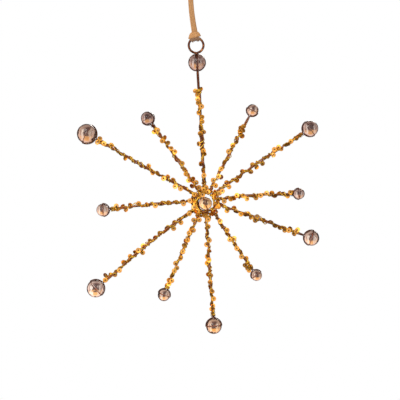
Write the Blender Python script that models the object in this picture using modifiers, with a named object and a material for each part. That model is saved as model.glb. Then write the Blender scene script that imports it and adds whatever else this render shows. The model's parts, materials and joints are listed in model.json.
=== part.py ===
"""Beaded star ornament: twelve wired rays with sequins and glass beads, hung on a ribbon.

Metres, +Z up, and the star lies in the X-Z plane, so a viewer at -Y sees its front. The origin is
where a hook carries the ribbon, just under its top knot. Each ray has a frame of its own: an empty
at the point where the rays meet, whose Z axis runs along the ray and whose X axis lies in the star.
"""

import math
import random

import bmesh
import bpy
from mathutils import Matrix

MM = 0.001
CLEARANCE = 0.3 * MM
SEAM_MERGE = 0.001 * MM
TURNED_MERGE = 0.01 * MM
FRAME_DISPLAY_SIZE = 5.0 * MM
SHARP_ANGLE = math.radians(40)

# Ribbon: two flat strands that hang from the top knot to the hitch on the ring.
RIBBON_WIDTH = 3.0 * MM
RIBBON_THICKNESS = 0.4 * MM
# Each point is (x, half of the opening between the strands, z), from the knot down to the hitch.
RIBBON_ROUTE = (
    (0.0 * MM, 0.15 * MM, 0.0 * MM),
    (-0.25 * MM, 0.9 * MM, -2.5 * MM),
    (-0.6 * MM, 1.7 * MM, -6.0 * MM),
    (-0.9 * MM, 1.0 * MM, -9.5 * MM),
    (-1.15 * MM, 0.3 * MM, -13.0 * MM),
    (-1.5 * MM, 0.17 * MM, -20.0 * MM),
    (-1.5 * MM, 0.15 * MM, -28.0 * MM),
    (-1.0 * MM, 0.15 * MM, -36.0 * MM),
    (-0.15 * MM, 0.15 * MM, -43.0 * MM),
    (0.8 * MM, 0.15 * MM, -48.9 * MM),
)
ROUTE_STEPS = 2

# Knot that joins the strands above the hook, with the two ribbon ends as short tails.
KNOT_WIDTH = 6.0 * MM
KNOT_DEPTH = 4.4 * MM
KNOT_HEIGHT = 4.4 * MM
TAIL_LENGTH = 9.0 * MM
TAIL_SPREAD = math.radians(32)

# Hitch: the ribbon's bight, drawn up over its two legs where they wrap the ring.
HITCH_LEAN = math.radians(-7)
HITCH_FLEX_DROP = 0.35 * MM
HITCH_TOP_DROP = 0.5 * MM
HITCH_HEIGHT = 3.7 * MM
HITCH_TOP_WIDTH = 5.0 * MM
HITCH_BASE_WIDTH = 6.4 * MM
HITCH_DEPTH = 2.6 * MM
HITCH_ROUNDING = 0.4 * MM
LEG_THICKNESS = 0.55 * MM
LEG_SPREAD = math.radians(42)

# Hanging ring: one wire that closes into an eye and runs on as the stem of the first ray.
RING_WIRE = 1.05 * MM
RING_RADIUS = 4.55 * MM
STEM_BEND = 0.9 * MM
STEM_EASE = 4.0 * MM
BARE_STEM = 9.6 * MM

# Core wire of a ray: a hairpin through its bead, whose two strands twist round each other.
CORE_WIRE = 0.7 * MM
STRAND_GAP = 0.4 * MM
TWIST_PITCH = 60.0 * MM
HOLE_BEND = 0.6 * MM
NECK_BEND = 1.5 * MM

# Gold wire wound round each ray, with the sequins threaded on it. A sequin faces the front or the
# back of the star within its swing, as far as its wire lets it turn.
GOLD_WIRE = 0.4 * MM
WINDING_PITCH = 16.0 * MM
SEQUIN_DIAMETER = 3.0 * MM
SEQUIN_THICKNESS = 0.3 * MM
SEQUIN_SPACING = 7.5 * MM
SPACING_CHANGE = 0.25
SEQUIN_SWING = math.radians(15)
SEQUIN_MOST_TURN = math.radians(45)

# Hub: the ring that gathers the rays, a little below the point where they would meet, the bead that
# has slipped down the wire across it, and the gold wire woven through the rays.
HUB_RADIUS = 5.9 * MM
HUB_WIRE = 0.8 * MM
HUB_DROP = 1.7 * MM
CENTRE_BEAD_DIAMETER = 8.2 * MM
CENTRE_BEAD_SLIP = 0.7 * MM
CENTRE_WIRE_ANGLE = math.radians(-19)
BINDING_RADIUS = 8.4 * MM
BINDING_END_GAP = 1.2 * MM

# Long and short rays take turns. A ray's length runs from the point where the rays meet to the centre
# of its bead.
LONG_RAY = 80.0 * MM
SHORT_RAY = 61.0 * MM
LONG_RAY_BEAD = 10.5 * MM
SHORT_RAY_BEAD = 7.5 * MM
# The rays, clockwise from the top as the front shows them: angle from straight up, length and bead
# diameter with what is over or under the usual, and how far the ray bows to its clockwise side.
RAYS = (
    (math.radians(-3.3), LONG_RAY + 5.1 * MM, LONG_RAY_BEAD + 0.5 * MM, -0.4 * MM),
    (math.radians(28.0), SHORT_RAY + 1.8 * MM, SHORT_RAY_BEAD - 0.1 * MM, 0.0 * MM),
    (math.radians(55.9), LONG_RAY - 1.2 * MM, LONG_RAY_BEAD - 0.6 * MM, -0.5 * MM),
    (math.radians(86.4), SHORT_RAY - 2.5 * MM, SHORT_RAY_BEAD - 0.7 * MM, -0.9 * MM),
    (math.radians(109.8), LONG_RAY - 9.8 * MM, LONG_RAY_BEAD - 1.0 * MM, -0.2 * MM),
    (math.radians(145.8), SHORT_RAY - 4.2 * MM, SHORT_RAY_BEAD - 0.7 * MM, 0.4 * MM),
    (math.radians(176.0), LONG_RAY - 1.4 * MM, LONG_RAY_BEAD - 0.8 * MM, 0.1 * MM),
    (math.radians(203.3), SHORT_RAY + 3.4 * MM, SHORT_RAY_BEAD + 0.1 * MM, 0.2 * MM),
    (math.radians(230.9), LONG_RAY + 7.4 * MM, LONG_RAY_BEAD + 0.4 * MM, 1.0 * MM),
    (math.radians(264.2), SHORT_RAY + 2.7 * MM, SHORT_RAY_BEAD + 0.3 * MM, 0.4 * MM),
    (math.radians(299.1), LONG_RAY + 3.9 * MM, LONG_RAY_BEAD + 1.7 * MM, -0.4 * MM),
    (math.radians(324.8), SHORT_RAY + 0.8 * MM, SHORT_RAY_BEAD + 0.7 * MM, 0.4 * MM),
)
RAY_ANGLES, RAY_LENGTHS, BEAD_DIAMETERS, RAY_BOWS = zip(*RAYS)
RAY_COUNT = len(RAYS)
FULL_TURN = 2 * math.pi

# Smoothness: how many straight pieces each curve is drawn with.
WIRE_ROUNDNESS = 1
RING_ROUNDNESS = 2
TURN_POINTS = 8
TWIST_POINTS = 6
BEND_STEPS = 2
HUG_STEPS = 3
RING_STEPS = 26
HUB_STEPS = 24
HUB_WIRE_SIDES = 6
BEAD_SIDES = 12
BEAD_ARC_STEPS = 6
SEQUIN_SIDES = 8
BINDING_STEPS = 4
KNOT_SIDES = 12
KNOT_RINGS = 8
EASE_SHARES = (1.0, 0.7, 0.3)
SLEEVE_STEP = math.radians(6)

# Half widths of the twisted pair in a ray, and of the stem with its companion strand in the first.
PAIR_HALF = CORE_WIRE + STRAND_GAP / 2
STEM_PAIR_HALF = (RING_WIRE + STRAND_GAP + CORE_WIRE) / 2


def clear_scene():
    for item in list(bpy.data.objects):
        bpy.data.objects.remove(item, do_unlink=True)


def new_collection(name):
    group = bpy.data.collections.new(name)
    bpy.context.scene.collection.children.link(group)
    return group


def make_finish(name, colour, metallic, roughness, transmission=0.0):
    finish = bpy.data.materials.new(name)
    finish.use_nodes = True
    shader = finish.node_tree.nodes["Principled BSDF"]
    shader.inputs["Base Color"].default_value = (*colour, 1.0)
    shader.inputs["Metallic"].default_value = metallic
    shader.inputs["Roughness"].default_value = roughness
    shader.inputs["Transmission Weight"].default_value = transmission
    return finish


clear_scene()
parts = new_collection("beaded_star_ornament")
helpers = new_collection("cutters_and_added_shapes")
dark_wire = make_finish("dark_wire", (0.075, 0.030, 0.020), 0.9, 0.35)
gold_garland = make_finish("gold_garland", (0.80, 0.42, 0.08), 1.0, 0.28)
bead_glass = make_finish("bead_glass", (0.45, 0.33, 0.28), 0.0, 0.05, 0.6)
fabric = make_finish("ribbon_fabric", (0.62, 0.40, 0.20), 0.0, 0.7)


def place(item, group, parent=None, location=(0.0, 0.0, 0.0), rotation=(0.0, 0.0, 0.0)):
    """Links an object, with its place given in its parent's frame."""
    group.objects.link(item)
    item.parent = parent
    item.location = location
    item.rotation_euler = rotation
    return item


def add_frame(name, parent=None, location=(0.0, 0.0, 0.0), angle=0.0):
    """An empty that carries other pieces, turned clockwise by an angle as the front shows it."""
    frame = bpy.data.objects.new(name, None)
    frame.empty_display_size = FRAME_DISPLAY_SIZE
    return place(frame, parts, parent, location, (0.0, angle, 0.0))


def add_wire(name, points, diameter, finish, parent, roundness=WIRE_ROUNDNESS):
    """A round wire along a line of points, with filled ends."""
    curve = bpy.data.curves.new(name, "CURVE")
    curve.dimensions = "3D"
    curve.bevel_depth = diameter / 2
    curve.bevel_resolution = roundness
    curve.use_fill_caps = True
    spline = curve.splines.new("POLY")
    spline.points.add(len(points) - 1)
    for knot, point in zip(spline.points, points):
        knot.co = (*point, 1.0)
    curve.materials.append(finish)
    return place(bpy.data.objects.new(name, curve), parts, parent)


def add_strip(name, points, parent):
    """A flat ribbon along (x, y, z) points that run up or down, its width across X."""
    strip = add_wire(name, [(x, z, -y) for x, y, z in points], RIBBON_THICKNESS, fabric, parent)
    strip.data.extrude = (RIBBON_WIDTH - RIBBON_THICKNESS) / 2
    strip.data.twist_mode = "Z_UP"
    for knot in strip.data.splines[0].points:
        knot.tilt = math.radians(90)
    strip.rotation_euler = (math.radians(90), 0.0, 0.0)
    return strip


def weld(mesh):
    body = bmesh.new()
    body.from_mesh(mesh)
    bmesh.ops.remove_doubles(body, verts=body.verts, dist=SEAM_MERGE)
    body.to_mesh(mesh)
    body.free()


def as_mesh(item):
    """The curve object remade as a closed mesh in the same place, so that a Boolean can take it."""
    bpy.context.view_layer.update()
    graph = bpy.context.evaluated_depsgraph_get()
    mesh = bpy.data.meshes.new_from_object(item.evaluated_get(graph))
    weld(mesh)
    name = item.name
    world = item.matrix_world.copy()
    solid = bpy.data.objects.new(name + "_solid", mesh)
    place(solid, parts, item.parent)
    solid.matrix_world = world
    bpy.data.objects.remove(item)
    solid.name = name
    return solid


def combine(solid, other, operation="UNION"):
    """Joins the other mesh to the solid, or cuts it away, and sets it aside as a helper."""
    change = solid.modifiers.new(operation.title(), "BOOLEAN")
    change.operation = operation
    change.object = other
    change.solver = "EXACT"
    parts.objects.unlink(other)
    helpers.objects.link(other)
    other.hide_render = True
    other.display_type = "WIRE"


def mesh_object(name, body, finish):
    """A mesh object from a bmesh, shaded smooth except at its sharp edges."""
    mesh = bpy.data.meshes.new(name)
    body.to_mesh(mesh)
    body.free()
    mesh.materials.append(finish)
    mesh.shade_smooth()
    mesh.set_sharp_from_angle(angle=SHARP_ANGLE)
    return bpy.data.objects.new(name, mesh)


def arc(centre_x, centre_z, radius, start, stop, steps):
    """Points (x, z) on a circle from one angle to another, both ends included."""
    angles = [start + (stop - start) * step / steps for step in range(steps + 1)]
    return [(centre_x + radius * math.cos(a), centre_z + radius * math.sin(a)) for a in angles]


def least_gap(points, diameter):
    """The least gap of a wound wire to itself, past the half turn that any point is near."""
    gaps = [
        math.dist(point, other)
        for index, point in enumerate(points)
        for other in points[index + TURN_POINTS // 2 :]
    ]
    return min(gaps, default=math.inf) - diameter


def ray_name(index, piece):
    return f"ray_{index + 1:02d}_{piece}"


def pair_half(index):
    return STEM_PAIR_HALF if index == 0 else PAIR_HALF


def nearest_angle(index):
    """The angle to the nearer of a ray's two neighbours."""
    gaps = [
        (RAY_ANGLES[index] - RAY_ANGLES[index - 1]) % FULL_TURN,
        (RAY_ANGLES[(index + 1) % RAY_COUNT] - RAY_ANGLES[index]) % FULL_TURN,
    ]
    return min(gaps)


def has_room(index, distance, half_width):
    """Whether a half width fits at this distance, short of the line midway to the neighbour."""
    half_angle = nearest_angle(index) / 2
    room = distance * math.sin(half_angle) - half_width * math.cos(half_angle)
    return room >= CLEARANCE / 2


def room_from(index, half_width):
    """The distance along a ray beyond which this half width clears the neighbours."""
    half_angle = nearest_angle(index) / 2
    return (half_width * math.cos(half_angle) + CLEARANCE / 2) / math.sin(half_angle)


def leaves_circle(index, radius, half_width=0.0):
    """The distance along a ray where all its width is outside a circle about the hub's centre."""
    along = HUB_DROP * math.cos(RAY_ANGLES[index])
    across = max(0.0, abs(HUB_DROP * math.sin(RAY_ANGLES[index])) - half_width)
    return math.sqrt(radius**2 - across**2) - along


def core_start(index):
    outside = leaves_circle(index, HUB_RADIUS + HUB_WIRE / 2 + CLEARANCE, pair_half(index))
    return max(outside, room_from(index, pair_half(index)))


def neck_drop(bead_diameter):
    """How far below the bead's centre its two strands have come together."""
    reach = bead_diameter / 2 + CLEARANCE + CORE_WIRE / 2 + NECK_BEND
    side = (CORE_WIRE + STRAND_GAP) / 2 + NECK_BEND
    return math.sqrt(reach**2 - side**2)


def core_top(index):
    if index == 0:
        return RAY_LENGTHS[0] - BEAD_DIAMETERS[0] / 2 - BARE_STEM - STEM_EASE
    return RAY_LENGTHS[index] - neck_drop(BEAD_DIAMETERS[index])


def bow_at(index, distance):
    """The sideways bow of a ray, none at its two ends."""
    share = (distance - core_start(index)) / (core_top(index) - core_start(index))
    share = min(max(share, 0.0), 1.0)
    return RAY_BOWS[index] * math.sin(math.pi * share) ** 2


def twisted_strand(index, offset, side):
    """One strand of a ray's core, from the hub out, on its own side of the pair."""
    start = core_start(index)
    top = core_top(index)
    steps = max(2, math.ceil((top - start) / TWIST_PITCH * TWIST_POINTS))
    points = []
    for step in range(steps + 1):
        distance = start + (top - start) * step / steps
        turn = FULL_TURN * (top - distance) / TWIST_PITCH
        x = bow_at(index, distance) + side * offset * math.cos(turn)
        points.append((x, side * offset * math.sin(turn), distance))
    return points


def bead_side(bead_diameter):
    """Half of the loop round a bead, as (x, z) about its centre: up from the neck to its hole."""
    hug = bead_diameter / 2 + CLEARANCE + CORE_WIRE / 2
    neck_x = (CORE_WIRE + STRAND_GAP) / 2 + NECK_BEND
    neck_z = -neck_drop(bead_diameter)
    mouth_x = math.sqrt((hug - HOLE_BEND) ** 2 - HOLE_BEND**2)
    neck_angle = math.atan2(-neck_z, -neck_x)
    mouth_angle = math.atan2(-HOLE_BEND, mouth_x)
    neck = arc(neck_x, neck_z, NECK_BEND, math.pi, neck_angle, BEND_STEPS)
    side = arc(0.0, 0.0, hug, neck_angle - math.pi, mouth_angle, HUG_STEPS)
    mouth = arc(mouth_x, -HOLE_BEND, HOLE_BEND, mouth_angle, math.pi / 2, BEND_STEPS)
    return neck[1:] + side[1:] + mouth[1:]


def hairpin(index):
    """The core wire of a ray: out along one strand, through the bead, and back along the other."""
    length = RAY_LENGTHS[index]
    offset = (CORE_WIRE + STRAND_GAP) / 2
    right = [(x, 0.0, length + z) for x, z in bead_side(BEAD_DIAMETERS[index])]
    left = [(-x, y, z) for x, y, z in reversed(right)]
    back = list(reversed(twisted_strand(index, offset, -1)))
    return twisted_strand(index, offset, 1) + right + left + back


def add_bead(name, diameter, wire, parent, location, rotation):
    """A glass bead turned round its hole, with its origin at its centre."""
    radius = diameter / 2
    hole = wire / 2 + CLEARANCE
    edge = math.asin(hole / radius)
    profile = arc(0.0, 0.0, radius, math.pi / 2 - edge, edge - math.pi / 2, BEAD_ARC_STEPS)
    body = bmesh.new()
    rim = [body.verts.new((x, 0.0, z)) for x, z in profile]
    for index, vert in enumerate(rim):
        body.edges.new((vert, rim[(index + 1) % len(rim)]))
    bead = mesh_object(name, body, bead_glass)
    turning = bead.modifiers.new("Turned", "SCREW")
    turning.steps = BEAD_SIDES
    turning.render_steps = BEAD_SIDES
    turning.use_merge_vertices = True
    turning.merge_threshold = TURNED_MERGE
    turning.use_smooth_shade = True
    return place(bead, parts, parent, location, rotation)


def winding_start(index):
    """Where the gold wire of a ray starts: clear of its neighbours and of the woven binding."""
    binding_reach = BINDING_RADIUS + SEQUIN_DIAMETER / 2 + CLEARANCE + GOLD_WIRE / 2
    return max(leaves_circle(index, binding_reach), room_from(index, winding_radius(index)))


def winding_radius(index):
    """The helix radius at which straight pieces between its points still clear the core."""
    clear = pair_half(index) + CLEARANCE + GOLD_WIRE / 2
    return clear / math.cos(math.pi / TURN_POINTS)


def sequin_facing(turn, chance):
    """The way a sequin at this turn of the helix faces, near the front or the back of the star."""
    towards = math.pi / 2 if math.sin(turn) >= 0 else -math.pi / 2
    swing = towards + chance.uniform(-SEQUIN_SWING, SEQUIN_SWING) - turn
    swing = (swing + math.pi) % FULL_TURN - math.pi
    return turn + min(max(swing, -SEQUIN_MOST_TURN), SEQUIN_MOST_TURN)


def sequin_stand_off(index, turn, facing):
    """How far from the ray's axis a sequin's centre lies, so that its flat side clears the core."""
    flat = pair_half(index) + CLEARANCE + SEQUIN_THICKNESS / 2
    return max(flat / math.cos(facing - turn), winding_radius(index))


def wind_ray(index):
    """The points of a ray's gold wire, and each sequin on it as (place, facing)."""
    chance = random.Random(index)
    phase = chance.uniform(0, FULL_TURN)
    start = winding_start(index)
    stop = core_top(index) - CLEARANCE - GOLD_WIRE / 2
    step_length = WINDING_PITCH / TURN_POINTS
    half = SEQUIN_DIAMETER / 2
    points = []
    sequins = []
    free_from = start + half + chance.uniform(0, SEQUIN_SPACING / 2)
    for step in range(int((stop - start) / step_length) + 1):
        distance = start + step * step_length
        turn = phase + FULL_TURN * step / TURN_POINTS
        facing = sequin_facing(turn, chance)
        stand_off = sequin_stand_off(index, turn, facing)
        reach = abs(stand_off * math.cos(turn)) + abs(half * math.sin(facing))
        fits = has_room(index, distance - half, reach)
        threaded = fits and distance >= free_from and distance + half <= stop
        radius = stand_off if threaded else winding_radius(index)
        bow = bow_at(index, distance)
        points.append((bow + radius * math.cos(turn), radius * math.sin(turn), distance))
        if threaded:
            sequins.append((points[-1], facing))
            change = chance.uniform(-SPACING_CHANGE, SPACING_CHANGE)
            free_from = distance + SEQUIN_SPACING * (1 + change)
    return points, sequins


def add_sequins(name, sequins, parent):
    """One mesh of flat discs, each facing its own way about the frame's Z axis."""
    body = bmesh.new()
    for centre, facing in sequins:
        turned = Matrix.Rotation(facing, 4, "Z") @ Matrix.Rotation(math.pi / 2, 4, "Y")
        bmesh.ops.create_cone(
            body,
            cap_ends=True,
            segments=SEQUIN_SIDES,
            radius1=SEQUIN_DIAMETER / 2,
            radius2=SEQUIN_DIAMETER / 2,
            depth=SEQUIN_THICKNESS,
            matrix=Matrix.Translation(centre) @ turned,
        )
    return place(mesh_object(name, body, gold_garland), parts, parent)


def add_garland(name, points, sequins, parent):
    """A gold wire with its sequins, joined as one piece."""
    garland = as_mesh(add_wire(name, points, GOLD_WIRE, gold_garland, parent))
    combine(garland, add_sequins(name + "_discs", sequins, parent))
    return least_gap(points, GOLD_WIRE)


def ring_rise():
    """How far above the first bead's centre the hanging ring's centre lies, seated on its hole."""
    hole = RING_WIRE / 2 + CLEARANCE
    ring = RING_RADIUS + RING_WIRE / 2
    bead = BEAD_DIAMETERS[0] / 2
    return math.sqrt(ring**2 - hole**2) + math.sqrt(bead**2 - hole**2) + CLEARANCE


def ring_and_stem():
    """The ring's wire: round the eye, down through the first bead, and along the ray to the hub."""
    centre = RAY_LENGTHS[0] + ring_rise()
    hole = RING_WIRE / 2 + CLEARANCE
    free_end = math.asin(hole / (RING_RADIUS - RING_WIRE / 2)) - math.pi / 2
    bend_z = -math.sqrt((RING_RADIUS + STEM_BEND) ** 2 - STEM_BEND**2)
    leaving = math.atan2(bend_z, -STEM_BEND) + FULL_TURN
    eye = arc(0.0, centre, RING_RADIUS, free_end, leaving, RING_STEPS)
    bend = arc(-STEM_BEND, centre + bend_z, STEM_BEND, leaving - math.pi, 0.0, BEND_STEPS)
    offset = STEM_PAIR_HALF - RING_WIRE / 2
    top = core_top(0)
    eased = [
        (offset * (1 + math.cos(math.pi * share)) / 2, top + STEM_EASE * share)
        for share in EASE_SHARES
    ]
    down = [(x, 0.0, z) for x, z in eye + bend[1:] + eased]
    return down + list(reversed(twisted_strand(0, offset, 1)))


def make_first_ray(frame):
    ring_wire = ring_and_stem()
    add_wire("hanging_ring", ring_wire, RING_WIRE, dark_wire, frame, RING_ROUNDNESS)
    offset = STEM_PAIR_HALF - CORE_WIRE / 2
    add_wire(ray_name(0, "wire"), twisted_strand(0, offset, -1), CORE_WIRE, dark_wire, frame)
    seat = (0.0, 0.0, RAY_LENGTHS[0])
    add_bead("tip_bead_01", BEAD_DIAMETERS[0], RING_WIRE, frame, seat, (0.0, 0.0, 0.0))


def make_plain_ray(index, frame):
    """A ray whose hairpin runs crosswise through its bead, which turns on it."""
    add_wire(ray_name(index, "wire"), hairpin(index), CORE_WIRE, dark_wire, frame)
    seat = (0.0, 0.0, RAY_LENGTHS[index])
    crosswise = (0.0, math.radians(90), 0.0)
    name = f"tip_bead_{index + 1:02d}"
    add_bead(name, BEAD_DIAMETERS[index], CORE_WIRE, frame, seat, crosswise)


def make_rays(star, meeting_point):
    gaps = []
    for index, angle in enumerate(RAY_ANGLES):
        frame = add_frame(ray_name(index, "frame"), star, meeting_point, angle)
        if index == 0:
            make_first_ray(frame)
        else:
            make_plain_ray(index, frame)
        points, sequins = wind_ray(index)
        gaps.append(add_garland(ray_name(index, "sequins"), points, sequins, frame))
    print(f"least gap of a wound wire to itself: {min(gaps) / MM:.2f} mm")


def crossing_angle(index):
    """Where a ray crosses the binding's circle, as an angle about the hub's centre."""
    distance = leaves_circle(index, BINDING_RADIUS)
    x = distance * math.sin(RAY_ANGLES[index])
    z = distance * math.cos(RAY_ANGLES[index]) + HUB_DROP
    return math.atan2(x, z)


def binding_path():
    """The woven wire's points, over one ray and under the next, and a sequin at each crossing."""
    swing = STEM_PAIR_HALF + CLEARANCE + max(GOLD_WIRE, SEQUIN_THICKNESS) / 2
    crossings = [crossing_angle(index) for index in range(RAY_COUNT)]
    crossings.append(crossings[0] + FULL_TURN)
    end_gap = BINDING_END_GAP / BINDING_RADIUS
    points = []
    sequins = []
    for index in range(RAY_COUNT):
        span = (crossings[index + 1] - crossings[index]) % FULL_TURN
        if index == RAY_COUNT - 1:
            span -= end_gap
        for step in range(BINDING_STEPS + (index == RAY_COUNT - 1)):
            share = step / BINDING_STEPS
            angle = crossings[index] + span * share
            depth = -swing * math.cos(math.pi * (index + share))
            x = BINDING_RADIUS * math.sin(angle)
            points.append((x, depth, BINDING_RADIUS * math.cos(angle)))
            if step == 0:
                sequins.append((points[-1], math.pi / 2))
    return points, sequins


def make_hub(hub):
    """The ring that the rays start from, its bead on a cross wire, and the woven binding."""
    bpy.ops.mesh.primitive_torus_add(
        major_segments=HUB_STEPS,
        minor_segments=HUB_WIRE_SIDES,
        major_radius=HUB_RADIUS,
        minor_radius=HUB_WIRE / 2,
    )
    ring = bpy.context.object
    ring.name = "hub_ring"
    ring.data.materials.append(dark_wire)
    for group in list(ring.users_collection):
        group.objects.unlink(ring)
    place(ring, parts, hub, rotation=(math.radians(90), 0.0, 0.0))

    cross = add_frame("centre_wire_frame", hub, angle=CENTRE_WIRE_ANGLE)
    reach = HUB_RADIUS - HUB_WIRE / 2 - CLEARANCE
    ends = [(0.0, 0.0, -reach), (0.0, 0.0, reach)]
    add_wire("centre_cross_wire", ends, CORE_WIRE, dark_wire, cross)
    slipped = (0.0, 0.0, -CENTRE_BEAD_SLIP)
    along = (0.0, 0.0, 0.0)
    add_bead("centre_bead", CENTRE_BEAD_DIAMETER, CORE_WIRE, cross, slipped, along)

    points, sequins = binding_path()
    add_garland("hub_binding", points, sequins, hub)


def route_point(position):
    """A point of the ribbon's smooth route, by how many of its listed points it has passed."""
    last = len(RIBBON_ROUTE) - 1
    index = min(int(position), last - 1)
    share = position - index
    before, here, there, after = (
        RIBBON_ROUTE[min(max(index + shift, 0), last)] for shift in (-1, 0, 1, 2)
    )
    return tuple(
        (2 * h + (t - b) * share + (2 * b - 5 * h + 4 * t - a) * share**2
         + (3 * h - 3 * t + a - b) * share**3) / 2
        for b, h, t, a in zip(before, here, there, after)
    )


def make_ribbon(twist):
    """The two strands, which lie together except round the hook."""
    steps = (len(RIBBON_ROUTE) - 1) * ROUTE_STEPS
    route = [route_point(step / ROUTE_STEPS) for step in range(steps + 1)]
    for name, side in (("ribbon_strand_front", -1), ("ribbon_strand_back", 1)):
        points = [(x, side * (opening + RIBBON_THICKNESS / 2), z) for x, opening, z in route]
        add_strip(name, points, twist)


def make_knot(hook):
    """The knot as one body: a round middle and two tails that point up from it."""
    middle = CLEARANCE + KNOT_HEIGHT / 2
    half_size = Matrix.Diagonal((KNOT_WIDTH / 2, KNOT_DEPTH / 2, KNOT_HEIGHT / 2, 1.0))
    body = bmesh.new()
    bmesh.ops.create_uvsphere(
        body, u_segments=KNOT_SIDES, v_segments=KNOT_RINGS, radius=1.0, matrix=half_size
    )
    knot = place(mesh_object("ribbon_knot", body, fabric), parts, hook, (0.0, 0.0, middle))
    for name, side in (("left", -1), ("right", 1)):
        depth = side * RIBBON_THICKNESS
        tip_x = TAIL_LENGTH * math.sin(side * TAIL_SPREAD)
        tip_z = middle + TAIL_LENGTH * math.cos(TAIL_SPREAD)
        ends = [(0.0, depth, middle), (tip_x, depth, tip_z)]
        combine(knot, as_mesh(add_strip(f"knot_tail_{name}", ends, hook)))


def hitch_rise():
    """From the hanging ring's centre up to the line where the ribbon bends."""
    return RING_RADIUS + RING_WIRE / 2 + HITCH_HEIGHT + HITCH_TOP_DROP


def sleeve(name, diameter, spread, parent):
    """A thick tube along the top of the ring, in the frame whose Z axis points up the hitch."""
    middle = -hitch_rise()
    steps = math.ceil(spread / SLEEVE_STEP)
    line = arc(0.0, middle, RING_RADIUS, math.pi / 2 + spread, math.pi / 2 - spread, steps)
    points = [(x, 0.0, z) for x, z in line]
    return as_mesh(add_wire(name, points, diameter, fabric, parent, RING_ROUNDNESS))


def make_hitch(pivot):
    """The hitch as one body: the bight across two legs that wrap the ring, and the ring's way."""
    channel = RING_WIRE + 2 * CLEARANCE
    hitch = sleeve("ribbon_hitch", channel + 2 * LEG_THICKNESS, LEG_SPREAD, pivot)
    top = -HITCH_TOP_DROP
    base = top - HITCH_HEIGHT - RING_WIRE / 2
    outline = (
        (-HITCH_TOP_WIDTH / 2, top),
        (HITCH_TOP_WIDTH / 2, top),
        (HITCH_BASE_WIDTH / 2, base),
        (-HITCH_BASE_WIDTH / 2, base),
    )
    curve = bpy.data.curves.new("hitch_band", "CURVE")
    curve.dimensions = "2D"
    curve.fill_mode = "BOTH"
    curve.extrude = HITCH_DEPTH / 2 - HITCH_ROUNDING
    curve.bevel_depth = HITCH_ROUNDING
    curve.bevel_resolution = 1
    curve.offset = -HITCH_ROUNDING
    spline = curve.splines.new("POLY")
    spline.points.add(len(outline) - 1)
    for knot, (x, z) in zip(spline.points, outline):
        knot.co = (x, z, 0.0, 1.0)
    spline.use_cyclic_u = True
    band = place(bpy.data.objects.new("hitch_band", curve), parts, pivot)
    band.rotation_euler = (math.radians(90), 0.0, 0.0)
    combine(hitch, as_mesh(band))
    way = sleeve("ring_way", channel, 2 * LEG_SPREAD, pivot)
    combine(hitch, way, "DIFFERENCE")


def main():
    hook = add_frame("ribbon_hook")
    make_knot(hook)
    twist = add_frame("ribbon_twist", hook)
    make_ribbon(twist)

    route_x, _, route_z = RIBBON_ROUTE[-1]
    flex_line = (route_x, 0.0, route_z - HITCH_FLEX_DROP)
    pivot = add_frame("hitch_frame", twist, flex_line, HITCH_LEAN)
    make_hitch(pivot)

    star = add_frame("star_frame", pivot, (0.0, 0.0, -hitch_rise()), -HITCH_LEAN)
    reach = RAY_LENGTHS[0] + ring_rise()
    meeting_x = -reach * math.sin(RAY_ANGLES[0])
    meeting_z = -reach * math.cos(RAY_ANGLES[0])
    make_rays(star, (meeting_x, 0.0, meeting_z))
    make_hub(add_frame("hub_frame", star, (meeting_x, 0.0, meeting_z - HUB_DROP)))


main()
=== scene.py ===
"""Dresses a hanging star of wired rays: sequins on gold wire, smoky glass beads, a ring and a ribbon.

Metres, +Z up. The star lies in the X-Z plane and a viewer at -Y sees its front. Each ray is worked out
in its own frame, whose z runs along the ray from the point where the rays meet, whose x lies in the
star, clockwise of the ray as the front shows it, and whose y is the world's.
"""

import json
import math
from collections import namedtuple

import bpy
import numpy as np
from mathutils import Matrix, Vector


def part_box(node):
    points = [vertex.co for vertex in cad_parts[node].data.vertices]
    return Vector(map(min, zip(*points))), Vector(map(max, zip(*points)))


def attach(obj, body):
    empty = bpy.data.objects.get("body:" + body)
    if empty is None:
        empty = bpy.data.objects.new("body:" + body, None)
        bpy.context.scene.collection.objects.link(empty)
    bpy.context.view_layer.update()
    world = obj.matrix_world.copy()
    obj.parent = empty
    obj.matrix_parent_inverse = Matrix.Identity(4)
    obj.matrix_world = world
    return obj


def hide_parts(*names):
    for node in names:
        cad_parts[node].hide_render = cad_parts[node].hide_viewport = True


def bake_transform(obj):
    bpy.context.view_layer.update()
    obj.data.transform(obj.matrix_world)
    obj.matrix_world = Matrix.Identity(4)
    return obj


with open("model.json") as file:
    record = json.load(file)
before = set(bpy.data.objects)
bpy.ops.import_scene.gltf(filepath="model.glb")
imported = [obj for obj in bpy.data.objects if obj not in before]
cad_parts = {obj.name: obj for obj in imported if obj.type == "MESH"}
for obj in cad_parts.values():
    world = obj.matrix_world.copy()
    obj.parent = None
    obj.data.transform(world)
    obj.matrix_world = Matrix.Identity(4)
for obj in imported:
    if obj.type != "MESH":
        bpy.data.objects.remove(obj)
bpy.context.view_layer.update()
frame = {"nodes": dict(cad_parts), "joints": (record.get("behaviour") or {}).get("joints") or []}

bl_info = {
    "name": "Beaded Star Ornament",
    "version": (1, 0, 0),
    "blender": (4, 5, 0),
    "location": "3D View > Sidebar > Star",
    "description": "Sequins, wires, glass beads and a ribbon for a hanging wire star",
    "category": "Add Mesh",
}

MM = 0.001
FULL_TURN = 2 * math.pi
RAY_COUNT = 12
FRONT_TO_BACK = np.array([0.0, 1.0, 0.0])
CRISP_ANGLE = math.radians(50)

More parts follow.
